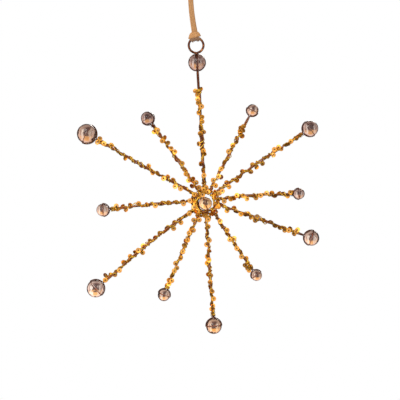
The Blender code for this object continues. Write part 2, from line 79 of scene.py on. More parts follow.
# Core wires: how they bow and twist, and how they part round a bead.
CORE_SIDES, STEM_SIDES = 10, 12
WIRE_STEP = 0.6 * MM
TWIST_PITCH = 60.0 * MM
BOW_WINDOW = 8.0 * MM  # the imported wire's bow is read this far to either side of its middle
SWAY, SWAY_WAVE = 0.18 * MM, 26 * MM
HUB_OVERLAP = 0.3 * MM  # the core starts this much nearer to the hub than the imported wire
NECK_BEND = 0.3 * MM
NECK_WIRE = 0.66 * MM
NECK_LENGTH = 5.0 * MM  # over this much of a ray below its bead the core thins and loses its stripes
PLAIN_COPPER = 0.05  # how much copper shows on the wire round a bead, from 0 to 1
HOLE_BEND = 0.45 * MM
HOLE_MARGIN = 0.15 * MM  # from this far outside the bead the wire is as thin as in its hole
BEND_POINTS, ARC_POINTS, HOLE_POINTS = 6, 22, 12
STRIPE_PITCH = 0.85 * MM

# The hanging ring and its stem.
RING_POINTS, EASE_POINTS = 96, 10
RING_INSET = 0.5 * MM
RING_OVAL = 1.03  # the ring's lower half is this much longer than a circle's
FREE_END = 0.3 * MM  # the ring's cut end stops this far beside the stem's line
STEM_BEND = 0.9 * MM
STEM_EASE = 4.0 * MM  # the stem moves aside to its place in the twist over this length
STEM_SWELL = 0.14  # the bare stem below its bead is this much thicker than the ring
BARE_STEM = 9.6 * MM
BEAD_LIP = 0.5 * MM  # the stem's copper shows from this far inside the bead

# How the gold wires run: the first stands off in a few loose loops, the second is slack in places.
GOLD_SIDES = 7
POINTS_PER_TURN = 40
GARLAND_SEED = 100
GOLD_START, GOLD_END = 0.6 * MM, 0.9 * MM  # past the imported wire's start, and past the last sequin
LOOSE_PER_METRE = 40
LOOSE_REACH = (1.5, 2.3)  # millimetres from the ray's line to the tip of a loose loop
BELL_WIDTH = 0.6 * MM
LOOSE_BELL = 1.7  # a loose loop is this much wider than a sequin's bell
# The width of the painted shade on the gold wire where it passes through a sequin's hole.
HOLE_SHADE_WIDTH = 0.4 * MM
ON_CORE = 0.05 * MM  # the gap between the core and a wire wound on it
SECOND_PITCH = 7.9 * MM
SECOND_SHORT = 1.0 * MM  # the second wire ends this far before the first
DRIFT_WAVE, SLACK_WAVE = 19 * MM, 9 * MM
SLACK, SLACK_FROM = 0.75 * MM, 0.25  # the second wire is slack where its wave is above the latter
RELIEF = (0.3, 0.55)  # millimetres from the core to the middle of a sequin

# Every sequin of the rays, from the first ray clockwise: millimetres along the ray and beside it, then
# its look (pale, ring, orange, deep or edge-on) and whether it lies in front of the core or behind.
SEQUINS = (
    "7.4 1.1 of, 11.5 -0.5 ef, 15.0 0.2 pf, 18.3 -0.4 ef, 22.3 -1.2 db, 28.3 1.1 df, 30.1 0.7 of, "
    "34.7 -1.9 of, 41.0 -0.6 df, 41.9 1.5 ob, 45.0 -0.4 ef, 48.4 0.9 of, 51.1 1.0 of, 53.9 -0.7 df, "
    "57.7 1.2 rf, 60.0 -0.7 of, 62.4 -0.9 pf, 65.1 -0.9 of, 67.6 -2.0 ob, 68.6 1.2 db",
    "7.8 0.2 eb, 10.7 1.7 of, 13.0 -1.1 pf, 16.7 0.5 of, 17.0 2.2 rb, 21.5 -0.2 pf, 26.0 -0.7 ef, "
    "28.8 0.4 ef, 33.2 -1.1 pf, 37.9 -0.6 of, 40.6 0.4 ef, 42.8 -0.4 db, 45.6 1.9 ob, 46.6 0.0 df, "
    "47.9 -0.9 of, 49.0 0.7 of, 49.7 -1.2 db, 51.2 -0.2 of",
    "7.4 0.9 ob, 9.5 1.7 pf, 11.9 1.7 rf, 16.7 1.7 of, 17.0 -1.2 ob, 23.2 1.3 db, 26.0 0.4 ef, "
    "29.0 -1.4 ob, 33.2 1.7 ob, 36.6 -1.4 ob, 37.8 1.2 db, 42.2 1.6 ob, 45.6 -0.9 ef, 50.5 0.8 pf, "
    "53.0 -1.6 rf, 55.9 -1.4 of, 56.7 0.3 of, 60.8 0.4 ef, 62.6 0.3 ef, 64.2 -0.1 of, 67.9 0.3 of, "
    "69.8 -0.2 ef, 71.6 -0.2 ef",
    "8.1 0.5 eb, 11.8 1.7 rf, 13.6 0.2 eb, 15.9 0.6 df, 17.7 0.6 ef, 19.8 -1.4 of, 23.9 -0.9 of, "
    "26.0 1.1 of, 28.5 -0.3 ef, 31.6 0.9 ob, 34.5 -0.4 pf, 38.3 -1.6 pf, 41.7 -1.4 db, 43.1 0.5 ef, "
    "45.9 -1.4 eb, 48.4 -1.2 eb, 51.2 0.9 ob, 53.1 -1.2 of, 54.6 -1.1 db",
    "8.8 1.3 of, 10.5 -0.4 eb, 15.1 1.8 ob, 18.6 -1.2 ob, 20.5 0.9 ef, 23.9 0.9 of, 26.4 0.7 ef, "
    "28.0 -0.7 db, 30.4 0.6 df, 33.7 1.7 ob, 34.0 -1.1 of, 38.1 -0.6 ef, 43.2 -0.8 ef, 46.2 0.6 ef, "
    "49.6 0.7 ef, 52.9 1.1 of, 55.2 0.4 pf, 55.9 -0.9 db, 59.2 1.2 ob, 59.9 -0.6 pf, 60.2 -1.9 of",
    "9.8 1.1 ob, 12.1 -0.4 ef, 16.4 -0.2 pf, 19.2 0.5 ef, 23.3 -0.6 of, 26.0 0.4 ef, 29.0 1.2 pf, "
    "30.1 -1.4 ob, 33.5 0.2 ef, 36.0 0.7 pf, 38.8 -0.2 eb, 41.9 1.2 pf, 44.6 -0.6 db, 47.6 2.3 of, "
    "48.7 0.1 ef, 50.0 2.0 ob, 50.5 -0.2 ef, 51.6 2.0 ob",
    "9.8 0.7 pf, 12.4 -1.1 pf, 16.9 -0.9 of, 19.8 -0.3 ef, 23.2 0.4 eb, 25.3 -0.9 pf, 27.9 0.9 rb, "
    "31.9 -0.3 df, 35.3 1.2 db, 37.5 0.2 of, 39.4 1.4 db, 43.7 0.2 ef, 46.6 1.2 db, 47.1 -0.2 of, "
    "51.2 0.4 of, 54.6 0.3 eb, 57.0 -0.4 of, 59.2 0.4 ef, 61.6 -1.0 of, 64.5 0.4 ef, 66.0 -0.3 of, "
    "68.0 0.5 ob, 70.3 -0.1 ef",
    "8.4 1.6 of, 10.8 0.2 of, 12.9 -1.7 pf, 14.4 1.4 rf, 17.4 0.1 eb, 20.3 -0.9 of, 20.5 0.6 db, "
    "22.9 0.8 of, 27.2 -0.1 of, 28.3 0.9 db, 31.0 0.6 of, 35.0 -0.2 pf, 39.4 -0.3 df, 43.4 1.1 pf, "
    "45.8 -0.7 pf, 48.1 0.0 pf, 50.8 -0.4 ef, 54.2 -0.9 of, 54.8 0.7 ob, 56.8 -0.1 of, 58.3 0.7 eb",
    "8.4 0.7 pf, 10.8 -0.6 eb, 13.1 -0.6 pf, 15.7 -0.4 ef, 19.2 0.7 ef, 20.6 -1.6 ob, 23.7 1.2 db, "
    "26.4 -1.6 pb, 29.5 1.0 ob, 32.2 0.4 ef, 35.0 1.5 ob, 38.8 1.2 db, 42.7 1.6 ob, 47.9 2.0 ob, "
    "50.8 -1.1 ob, 51.9 1.7 pf, 54.3 1.9 db, 58.3 2.0 ob, 60.8 0.6 ef, 63.9 1.7 db, 68.7 -0.6 pf, "
    "72.8 -0.8 ob, 75.0 0.7 db, 77.4 2.5 ob, 79.4 0.3 pf",
    "9.3 0.2 pf, 13.5 -1.2 pf, 14.0 0.7 eb, 17.9 0.1 of, 22.6 0.4 df, 26.4 0.6 ob, 27.9 -0.6 ef, "
    "31.0 -0.6 pf, 36.3 0.5 df, 38.6 0.2 ef, 41.1 1.7 of, 46.5 1.2 db, 49.4 -1.2 ob, 51.2 1.1 eb, "
    "54.7 -0.4 df, 55.2 1.6 pb, 57.7 0.5 ef",
    "7.4 -0.4 of, 11.5 0.3 ef, 14.9 0.4 eb, 16.6 -1.5 pf, 20.1 -1.9 rf, 23.2 1.0 db, 27.0 1.1 ob, "
    "28.7 -1.1 pf, 33.5 0.3 ef, 36.3 -1.2 ob, 40.6 1.3 ob, 44.3 -0.8 eb, 55.8 -1.6 db, 59.2 -0.7 eb, "
    "63.9 0.5 ef, 67.3 1.2 ob, 71.6 -0.1 pf, 74.3 -0.4 ob, 75.3 1.4 of, 75.6 -1.4 of",
    "8.4 1.3 of, 11.5 -1.9 eb, 11.8 1.6 of, 13.9 0.2 ef, 14.9 1.2 db, 15.6 -1.4 of, 18.5 0.2 of, "
    "19.8 -0.4 of, 22.6 0.4 of, 26.5 1.4 of, 30.4 -0.2 eb, 34.9 1.8 of, 38.1 1.1 of, 42.0 1.4 of, "
    "45.0 -0.7 of, 45.8 1.8 db, 49.0 0.4 eb, 52.1 0.8 pf, 52.6 -1.5 db, 55.2 0.2 eb",
)

# The hub's sequins: clock angle in degrees and distance in millimetres about the centre bead, and look.
HUB_SEQUINS = (
    "12 7.3 of, 313 5.9 of, 252 7.5 pf, 268 6.3 df, 99 6.2 of, 104.5 8.3 df, 181 7.4 of, 54 7.2 df, "
    "73 8.1 df, 342 5.6 pf, 352 8.6 of, 38 9.0 ef, 286 7.9 ef, 330 7.6 eb, 212 8.6 ef, 146 7.2 ef, "
    "232 7.8 ef, 122 7.0 ef, 163 9.2 eb, 300 8.6 eb, 20 8.4 ob, 60 8.0 ob, 130 8.2 ob, 200 7.6 ob, "
    "238 7.2 ob, 275 7.8 ob, 310 7.4 ob, 345 7.8 ob, 90 7.6 pb, 165 7.2 pb, 220 7.4 pb, 0 7.2 pb"
)

# For each look: how pale the sequin is, a painted highlight or shade for the front light it catches, and how
# far it leans away from facing front, in degrees.
LOOKS = {"p": (0.95, 9), "r": (0.8, 9), "o": (0.5, 25), "d": (0.18, 34), "e": (0.3, 56)}
LEAN_SPREAD, TURN_SPREAD, TONE_SPREAD = 6, 0.25, 0.08
SEQUIN_SIDES = 14
SEQUIN_BEND = 0.14 * MM
OFF_FACING = np.array([0.31, 0.17, 0.93])  # no sequin faces this way
HUB_SEED = 77
HUB_DEPTHS = (1.15, 1.65)  # millimetres of the hub's sequins before or behind the star's plane

# Tight coils of gold wire: the ray, and where along it they start and stop, in millimetres.
COILS = ((1, 43.6, 46.6), (6, 46.4, 48.2), (6, 49.2, 51.0), (7, 70.2, 72.2), (8, 58.3, 60.0),
         (10, 56.4, 58.4), (12, 50.0, 51.4), (1, 66.8, 68.4), (5, 12.0, 13.4))
COIL_PITCH = 0.8 * MM
COIL_GAP = 0.04 * MM
POINTS_PER_COIL = 14
# Tight turns of dark or bare copper wire below a bead: the ray, where they start and stop, the finish.
WHIPPINGS = ((3, 68.0, 73.2, "copper"), (4, 53.4, 54.7, "wire"), (7, 71.9, 73.4, "wire"),
             (8, 58.6, 60.2, "wire"), (12, 55.4, 57.1, "wire"))

# How smoky and how amber the glass of each bead is: the centre bead, then the tips from the first ray.
GLASS = ((0.0, 1.0), (0.8, 0.05), (0.55, 0.2), (0.7, 0.05), (0.45, 0.0), (0.25, 0.2), (0.35, 0.3),
         (0.2, 0.8), (0.25, 0.3), (0.0, 0.05), (0.3, 0.25), (0.55, 0.3), (0.9, 0.0))
BEAD_SEED = 300
UNEVEN, UNEVEN_WAVES = 0.0035, 1700  # each wave's share of the radius, and its radians per metre
BEAD_ROWS, BEAD_HOLE_ROWS, BEAD_SIDES = 46, 6, 72
HOLE_ROOM = 0.05 * MM

# Hub: where the rays meet, its ring and cross wire, the lashing on the ring, and the woven binding.
HUB_DROP = 1.7 * MM  # the rays would meet this far above the hub ring's centre
HUB_RING_POINTS, CROSS_POINTS, CROSS_SIDES = 120, 24, 8
LASHING_TURNS, LASHING_POINTS, LASHING_SIDES = 40, 1400, 6
LASHING_GAP = 0.06 * MM
# The lashing's speed between the rays, how much is added at a ray, and over what angle in radians.
LASHING_SLOW, LASHING_FAST, LASHING_BELL = 0.6, 9, 0.11
BINDING_POINTS, BINDING_WAVES = 260, 5
BINDING_RADII = (7.2 * MM, 8.5 * MM)
BINDING_DEPTH, BINDING_SWING = 1.15 * MM, 0.35 * MM
# How many millimetres the nest's wires wave in their distance, slowly and faster, and in their depth.
NEST_SLOW, NEST_FAST, NEST_DEEP = 0.22, 0.1, 0.3
# The nest is wire between the centre bead and the hub ring. Each strand runs from one clock angle to
# another, at a distance from the bead's centre and a depth in millimetres.
NEST = {
    "hub_nest_dark": ("wire", (
        (140, 322, 4.85, 0.3), (125, 300, 5.2, -0.75), (350, 200, 5.5, 0.9), (150, 330, 4.5, 1.7),
        (170, 310, 4.7, 1.2), (98, 210, 5.6, -1.0))),
    "hub_nest_gold": ("gold_wire", ((50, 250, 5.35, 0.1), (140, 335, 5.05, -0.2), (215, 322, 5.6, -0.9))),
}

# Ribbon: each point is (x, half of the opening between the strands, z), from the knot to the hitch.
RIBBON_ROUTE = MM * np.array([
    (0.0, 0.15, 0.0), (-0.25, 0.9, -2.5), (-0.6, 1.7, -6.0), (-0.9, 1.0, -9.5), (-1.15, 0.3, -13.0),
    (-1.5, 0.17, -20.0), (-1.5, 0.15, -28.0), (-1.0, 0.15, -36.0), (-0.15, 0.15, -43.0),
    (0.8, 0.15, -48.9)])
ROUTE_STEPS = 8
TUCK = 1.6 * MM  # how far a strand runs on into the knot and into the hitch
STRAND_SPREAD = 0.3 * MM  # how far each strand of the ribbon lies aside at the hitch
STRAND_GAP = 0.2 * MM  # added between the strand's middle and the route's middle
STRAND_CROWN, WRAP_CROWN, TAIL_CROWN = 0.06 * MM, -0.12 * MM, 0.12 * MM
STRIP_COLUMNS, CLOTH_COLUMNS, LEG_COLUMNS = 20, 48, 28
WOVEN_WIDTH = 3.0 * MM  # the weave's width from edge to edge

# The hitch's bight. Its widths and depths are halves: the least, and how much is added to it at most.
HITCH_ROWS = 40
HITCH_TOP, HITCH_HEIGHT = 0.6 * MM, 4.1 * MM  # the top lies this far below the ribbon's bend
HITCH_WIDTH, HITCH_SPREAD = 2.3 * MM, 1.95 * MM
HITCH_DEPTH, HITCH_SWELL = 0.75 * MM, 0.75 * MM
HITCH_SKEW = 0.35 * MM  # how far the bight's lower edge lies to the left of its upper edge
CREASE, CREASE_WAVE, RIPPLE = 0.10 * MM, 0.42 * MM, 0.07 * MM
CREASE_FROM = 0.2 * MM  # the creases start this far before and behind the bight's middle

# The hitch's legs, by the angles in degrees at which they start and stop on the ring.
LEGS = {"left": (44, 0.4), "right": (-0.4, -42)}
LEG_ROWS = 26
LEG_RADIUS, LEG_SWELL, LEG_RIPPLE = 1.42 * MM, 0.12 * MM, 0.05 * MM
LEG_WALL = 0.08 * MM  # the hitch's legs are this thick outside the ring's wire, and thicker inside it
LEG_ROOM = 0.12 * MM  # between the ring's wire and the legs round it
LEG_LIP = 0.18 * MM  # how much narrower a leg is at its two ends
LEG_WEAVE = 1.2 * MM  # the weave's length for each radian round a leg

# The knot over the hook, and its two tails.
KNOT_ROWS, WRAP_POINTS, TAIL_POINTS = 36, 90, 30
KNOT_RISE = 2.2 * MM  # from the knot's underside to its middle
KNOT_HALF = np.array([2.75, 1.95, 2.0]) * MM
KNOT_POLE = 0.05  # the angle in radians between the heart's last ring and its pole
KNOT_SWIRL, KNOT_RIPPLE, SWIRL_RISE = 0.06, 0.03, 0.5 * MM
WRAP_HALF = np.array([2.85, 2.05, 2.6]) * MM
WRAP_SLANT = math.radians(24)
WRAP_WIDTH = 2.3 * MM
TAIL_LENGTH, TAIL_LEAN, TAIL_NARROW = 9.0 * MM, math.radians(32), 0.94
TAIL_BOW, TAIL_APART, TAIL_CURL, TAIL_TURN = 0.3 * MM, 0.4 * MM, 0.7 * MM, 0.25
TAIL_CUT, TAIL_SLANT = 0.8, 0.5  # the cut starts at this share of a tail, and slants this much

View = namedtuple("View", "across height distance width")
# The camera looks at this point of the star's plane, from this far, and sees this width there.
VIEW = View(across=4.34 * MM, height=-154.38 * MM, distance=1.2, width=0.248)
SENSOR = 36.0
FLOOR_HEIGHT, FLOOR_THICKNESS, FLOOR_RADIUS, FLOOR_SIDES = -0.60, 0.004, 2.4, 96
FLOOR_GLOW = 0.45  # the glow of the floor's middle, as a share of its colour
WARM, COOL = (1.0, 0.96, 0.90), (0.93, 0.97, 1.0)
# Each light's place, size, power in watts and colour.
LIGHTS = {
    "key": ((-0.45, -0.80, 0.40), (0.70, 0.70), 4.0, WARM),
    "strip_left": ((-0.75, -0.45, -0.10), (0.20, 0.7), 1.2, WARM),
    "strip_right": ((0.70, -0.55, -0.12), (0.22, 0.7), 1.4, COOL),
    "back": ((0.25, 0.80, 0.25), (0.5, 0.3), 2.0, WARM),
}

Ray = namedtuple("Ray", "number meeting along across length bead bow start")
Sequin = namedtuple("Sequin", "place tone lean edge_on side")


def length_property(name, description, millimetres):
    return bpy.props.FloatProperty(name=name, description=description, default=millimetres * MM,
                                   unit="LENGTH", subtype="DISTANCE")


def colour_property(name, description, *default):
    return bpy.props.FloatVectorProperty(name=name, description=description, default=default,
                                         subtype="COLOR")


class StarSizes(bpy.types.PropertyGroup):
    """The sizes that a user would change."""

    core_wire: length_property("Core Wire", "Thickness of a ray's two strands", 0.94)
    strand_gap: length_property("Strand Gap", "Gap between a ray's two strands", 0.06)
    bead_wire: length_property("Wire at a Bead", "Thickness of the wire where it goes round a bead", 0.46)
    hole_wire: length_property("Wire in a Bead", "Thickness of the wire where it goes through a bead", 0.36)
    bead_gap: length_property("Gap at a Bead", "Gap between a bead and the wire round it", 0.02)
    stem_wire: length_property("Ring Wire", "Thickness of the hanging ring and of its stem", 1.42)
    gold_wire: length_property("Gold Wire", "Thickness of the wire that carries the sequins", 0.64)
    second_wire: length_property("Second Gold Wire", "Thickness of the gold wire with no sequins", 0.56)
    winding_pitch: length_property("Winding Pitch", "Distance along a ray for a turn of the gold wire", 7.2)
    sequin: length_property("Sequin", "Diameter of a sequin", 3.2)
    sequin_hole: length_property("Sequin Hole", "Diameter of a sequin's hole", 0.75)
    sequin_thickness: length_property("Sequin Thickness", "Thickness of a sequin", 0.12)
    sequin_cup: length_property("Sequin Cup", "How far a sequin's edge stands above its middle", 0.18)
    ribbon_width: length_property("Ribbon Width", "Width of the ribbon", 3.0)
    ribbon_thickness: length_property("Ribbon Thickness", "Thickness of the ribbon", 0.36)


class StarColours(bpy.types.PropertyGroup):
    """The colours that a user would change."""

    wire_dark: colour_property("Wire", "Lacquered core wire", 0.125, 0.036, 0.016)
    wire_copper: colour_property("Bare Copper", "Copper where the lacquer is thin", 0.68, 0.25, 0.08)
    gold_wire: colour_property("Gold Wire", "Wire that carries the sequins", 1.0, 0.60, 0.06)
    sequin_pale: colour_property("Pale Sequin", "The palest sequins", 0.96, 0.48, 0.125)
    sequin_deep: colour_property("Deep Sequin", "The deepest sequins", 0.95, 0.36, 0.010)
    glass: colour_property("Glass", "Smoky rose glass", 0.93, 0.83, 0.78)
    glass_smoke: colour_property("Smoke", "Darker veins in the glass", 0.22, 0.13, 0.13)
    glass_amber: colour_property("Amber", "Amber patches in the glass", 1.0, 0.68, 0.34)
    ribbon: colour_property("Ribbon", "Woven ribbon", 0.61, 0.305, 0.115)
    # Painted shade: the ribbon darkened for the hitch's legs, which lie in shade under the bight and round
    # the ring.
    ribbon_shade: colour_property("Shaded Ribbon", "The ribbon in painted shade, for the hitch's legs", 0.33, 0.18, 0.10)
    floor: colour_property("Floor", "Plain floor", 0.86, 0.85, 0.84)


# Meshes from arrays.


def unit(vectors):
    return vectors / np.linalg.norm(vectors, axis=-1, keepdims=True)


def turn_steps(count):
    """Evenly spaced angles of one full turn."""
    return np.linspace(0, FULL_TURN, count, endpoint=False)


def distances(path):
    """How far along a path each of its points lies."""
    return np.concatenate([[0], np.cumsum(np.linalg.norm(np.diff(path, axis=0), axis=1))])


def grid_faces(rows, columns, wrap_rows=False):
    """Quads over a grid of points numbered row by row, with its columns closed into rings."""
    row = np.arange(rows if wrap_rows else rows - 1)[:, None]
    column = np.arange(columns)[None, :]
    here = row * columns
    there = (row + 1) % rows * columns
    beside = (column + 1) % columns
    return np.stack([here + column, here + beside, there + beside, there + column], -1).reshape(-1, 4)


def capped_faces(rows, columns):
    """The faces of such a grid, and a fan over each end from a point numbered after the grid's own."""
    ring, hub = np.arange(columns), rows * columns
    far = ring + hub - columns
    return [grid_faces(rows, columns), np.stack([np.full(columns, hub), np.roll(ring, -1), ring], 1),
            np.stack([np.full(columns, hub + 1), far, np.roll(far, -1)], 1)]


def with_ends(values):
    """Values of a grid's points and of its two ends, which take those of its first and last point."""
    return np.concatenate([values, values[:1], values[-1:]])


def tube(path, radius, sides, closed=False):
    """Points and faces of a wire: at each point of the path a circle of its radius, square to it.

    point(k, a) = path(k) + radius(k) (cos a side(k) + sin a up(k)), where side lies in the star's
    plane, and side and up are square to the path.
    """
    if closed:
        ahead = unit(np.roll(path, -1, 0) - np.roll(path, 1, 0))
    else:
        ahead = unit(np.gradient(path, axis=0))
    side = unit(np.cross(FRONT_TO_BACK, ahead))
    up = np.cross(ahead, side)
    angle = math.pi / 2 + turn_steps(sides)[:, None]
    radius = np.broadcast_to(radius, len(path))[:, None, None]
    points = path[:, None] + radius * (np.cos(angle) * side[:, None] + np.sin(angle) * up[:, None])
    points = points.reshape(-1, 3)
    if closed:
        return points, [grid_faces(len(path), sides, True)]
    return np.concatenate([points, path[:1], path[-1:]]), capped_faces(len(path), sides)


def lie_of(path):
    """For a core wire's points: how far along the wire each lies, and what share of a turn round it."""
    along = np.repeat(distances(path), CORE_SIDES)
    round_it = np.tile(np.arange(CORE_SIDES) / CORE_SIDES, len(path))
    return with_ends(np.stack([along, round_it, 0 * along], 1))


def turned(axis, profile, sides):
    """A grid of points turned from a profile round an axis through the origin.

    point(j, a) = r(j) (cos a one + sin a two) + z(j) axis, where the profile is a list of (r, z), and
    one and two are square to the axis. No axis here is near the direction that one is worked out from.
    """
    one = unit(np.cross(FRONT_TO_BACK + 0.01, axis))
    two = np.cross(axis, one)
    angle = turn_steps(sides)[None, :, None]
    r, z = (profile[:, k, None, None] for k in (0, 1))
    return r * (np.cos(angle) * one + np.sin(angle) * two) + z * axis


def joined(shells):
    """Several (points, faces) as one, with the faces renumbered."""
    points, faces, first = [], [], 0
    for shell_points, shell_faces in shells:
        points.append(shell_points)
        faces += [part + first for part in shell_faces]
        first += len(shell_points)
    return np.concatenate(points), faces


def new_mesh(name, shell, finish):
    points, faces = shell
    mesh = bpy.data.meshes.new(name)
    mesh.from_pydata(points.tolist(), [], [face for part in faces for face in part.tolist()])
    mesh.materials.append(FINISHES[finish])
    return mesh


def new_object(name, data):
    made = bpy.data.objects.new(name, data)
    bpy.context.scene.collection.objects.link(made)
    return made


def new_piece(name, shell, finish, body="star", stands_for=(), crisp=False, **values):
    """A mesh object that rides on a body, if it is given one. values are its attributes, by name.

    It is shaded smoothly, and if crisp, not across its edges of more than CRISP_ANGLE.
    """
    mesh = new_mesh(name, shell, finish)
    mesh.polygons.foreach_set("use_smooth", np.full(len(mesh.polygons), True))
    if crisp:
        mesh.set_sharp_from_angle(angle=CRISP_ANGLE)
    for title, column in values.items():
        column = np.asarray(column, np.float32)
        kind, field = ("FLOAT_VECTOR", "vector") if column.ndim == 2 else ("FLOAT", "value")
        mesh.attributes.new(title, kind, "POINT").data.foreach_set(field, column.ravel())
    mesh.update()
    piece = new_object(name, mesh)
    if body:
        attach(piece, body)
    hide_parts(*stands_for)
    return piece


def wander(chance, along, wavelength):
    """A smooth random line between about -1 and 1: three sines of unlike length and random phase."""
    waves = np.array([1.0, 0.61, 0.37])[:, None] * wavelength
    phases = chance.uniform(0, FULL_TURN, 3)[:, None]
    return (np.sin(FULL_TURN * along[None] / waves + phases) * [[0.5], [0.3], [0.2]]).sum(0)


def arc(x, z, radius, start, stop, count):
    """Points on a circle in a ray's x-z plane, about (x, z), both ends included."""
    angle = np.linspace(start, stop, count)
    return np.stack([x + radius * np.cos(angle), 0 * angle, z + radius * np.sin(angle)], 1)


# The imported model: its nodes, its joints, and the rays' frames.


def middle(node):
    low, high = (np.array(corner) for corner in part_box(node))
    return (low + high) / 2


def thickness(node):
    """A node's extent from front to back."""
    low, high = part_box(node)
    return high.y - low.y


def joint(name):
    """A joint's place and axis."""
    found = next(joint for joint in frame["joints"] if joint["name"] == name)
    return np.array(found["pos_m"]), np.array(found["axis"])


def axes(ray):
    return np.stack([ray.across, FRONT_TO_BACK, ray.along])


def find_ray(number):
    """A ray's frame, length, bead and bow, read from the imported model."""
    meeting = middle("hub_ring") + [0, 0, HUB_DROP]
    bead = f"tip_bead_{number:02d}"
    seat = middle(bead) * [1, 0, 1]
    length = float(np.linalg.norm(seat - meeting))
    along = (seat - meeting) / length
    across = np.array([along[2], 0.0, -along[0]])
    vertices = frame["nodes"][f"ray_{number:02d}_wire"].data.vertices
    wire = (np.array([vertex.co for vertex in vertices]) - meeting) @ np.stack([across, along], 1)
    start, stop = wire[:, 1].min(), min(wire[:, 1].max(), length - thickness(bead) / 2)
    near_middle = abs(wire[:, 1] - (start + stop) / 2) < BOW_WINDOW
    bow = float(wire[near_middle, 0].mean())
    return Ray(number, meeting, along, across, length, thickness(bead), bow, float(start))


RAYS = [find_ray(number) for number in range(1, RAY_COUNT + 1)]


def world_of(ray, local):
    """Points of a ray's own frame in the world."""
    return ray.meeting + local @ axes(ray)


# Shader nodes.


class Signal:
    """An output of a shader node. Arithmetic on it makes the nodes that work the result out."""

    def __init__(self, socket):
        self.socket, self.tree = socket, socket.id_data

    def maths(self, operation, *others, **settings):
        inputs = dict(enumerate((self, *others)))
        return signal(self.tree, "ShaderNodeMath", inputs, operation=operation, **settings)

    def __add__(self, other):
        return self.maths("ADD", other)

    def __sub__(self, other):
        return self.maths("SUBTRACT", other)

    def __mul__(self, other):
        return self.maths("MULTIPLY", other)

    def __truediv__(self, other):
        return self.maths("DIVIDE", other)

    def __rsub__(self, other):
        return self * -1.0 + other

    def __abs__(self):
        return self.maths("ABSOLUTE")

    def within(self, factor):
        """Times a factor, and kept between 0 and 1."""
        return self.maths("MULTIPLY", factor, use_clamp=True)


def fill(made, inputs):
    """Link or set a node's inputs, by name or place, to Signals, numbers or colours."""
    for title, value in inputs.items():
        socket = made.inputs[title]
        if isinstance(value, Signal):
            made.id_data.links.new(value.socket, socket)
        else:
            socket.default_value = (*value, 1.0) if socket.type == "RGBA" else value


def new_node(tree, kind, inputs, **settings):
    made = tree.nodes.new(kind)
    for title, value in settings.items():
        setattr(made, title, value)
    fill(made, inputs)
    return made


def signal(tree, kind, inputs, output=0, **settings):
    """One output of a new node."""
    return Signal(new_node(tree, kind, inputs, **settings).outputs[output])


def coordinates(tree, output="Object"):
    return signal(tree, "ShaderNodeTexCoord", {}, output)


def attribute(tree, title, output="Fac"):
    return signal(tree, "ShaderNodeAttribute", {}, output, attribute_name=title)


def parts(vector):
    """A vector's x, y and z."""
    return map(Signal, new_node(vector.tree, "ShaderNodeSeparateXYZ", {0: vector}).outputs)


def noise(where, scale, detail, distortion=0.0):
    inputs = {"Vector": where, "Scale": scale, "Detail": detail, "Distortion": distortion}
    return signal(where.tree, "ShaderNodeTexNoise", inputs)


def stretched(value, low, high):
    """0 up to low, rising to 1 at high."""
    return signal(value.tree, "ShaderNodeMapRange", {"Value": value, "From Min": low, "From Max": high})


def blend(share, first, second):
    """first where share is 0, second where it is 1."""
    return signal(share.tree, "ShaderNodeMix", {0: share, 6: first, 7: second}, 2, data_type="RGBA")


def vector_maths(operation, vector, *others, output=0):
    inputs = dict(enumerate((vector, *others)))
    return signal(vector.tree, "ShaderNodeVectorMath", inputs, output, operation=operation)


def ramp(value, *stops):
    """A colour ramp through (position, grey or colour) stops."""
    made = new_node(value.tree, "ShaderNodeValToRGB", {0: value})
    elements = made.color_ramp.elements
    while len(elements) < len(stops):
        elements.new(0.5)
    for element, (position, colour) in zip(elements, stops):
        element.position = position
        element.color = (colour,) * 3 + (1,) if isinstance(colour, float) else (*colour, 1)
    return Signal(made.outputs[0])


def bump(height, distance, strength):
    inputs = {"Height": height, "Distance": distance, "Strength": strength}
    return signal(height.tree, "ShaderNodeBump", inputs)


def scaled(colour, factor):
    return [min(1.0, factor * part) for part in colour]


# Finishes.


def new_group(name, takes, gives):
    """A shader group with the inputs it takes (None is a vector's default) and the outputs it gives."""
    group = bpy.data.node_groups.new(name, "ShaderNodeTree")
    for title, default in takes.items():
        kind = "NodeSocketVector" if default is None else "NodeSocketFloat"
        socket = group.interface.new_socket(title, in_out="INPUT", socket_type=kind)
        if default is not None:
            socket.default_value = default
    for title in gives:
        group.interface.new_socket(title, in_out="OUTPUT", socket_type="NodeSocketFloat")
    given = group.nodes.new("NodeGroupInput").outputs[:len(takes)]
    return group, map(Signal, given), group.nodes.new("NodeGroupOutput")


def handled_group():
    """Handled metal: a mask where the finish is worn or dulled, and a height for its small dents."""
    takes = {"Vector": None, "Patch Scale": 400.0, "Grain Scale": 4000.0, "Amount": 0.5}
    group, (where, patch, grain, amount), result = new_group("Handled Metal", takes, ("Wear", "Height"))
    patches, grains = noise(where, patch, 3.0), noise(where, grain, 2.0)
    wear = (patches - (1.0 - amount) * 0.7).within(4.0)
    fill(result, {"Wear": wear, "Height": grains + patches * 1.5})
    return group


def weave_group():
    """Woven ribbon: weft ribs across it, warp lines along it, and two firmer edges."""
    takes = {"Place": None, "Ribs per Metre": 4200.0, "Half Width": WOVEN_WIDTH / 2}
    group, (where, ribs, half), result = new_group("Ribbon Weave", takes, ("Thread", "Edge", "Height"))
    across, along, _ = parts(where)
    rib = (along * (ribs * FULL_TURN)).maths("SINE")
    warp = (across * (ribs * (1.4 * FULL_TURN))).maths("SINE")
    weave = rib * (warp * 0.35 + 0.65)
    edge = stretched(abs(across) / half, 0.72, 0.9)
    fill(result, {"Thread": weave * 0.25 + noise(where, 1500.0, 4.0), "Edge": edge,
                  "Height": weave * 0.5 + edge})
    return group


def new_finish(name):
    finish = bpy.data.materials.new(name)
    finish.use_nodes = True
    return finish, finish.node_tree, finish.node_tree.nodes["Principled BSDF"]


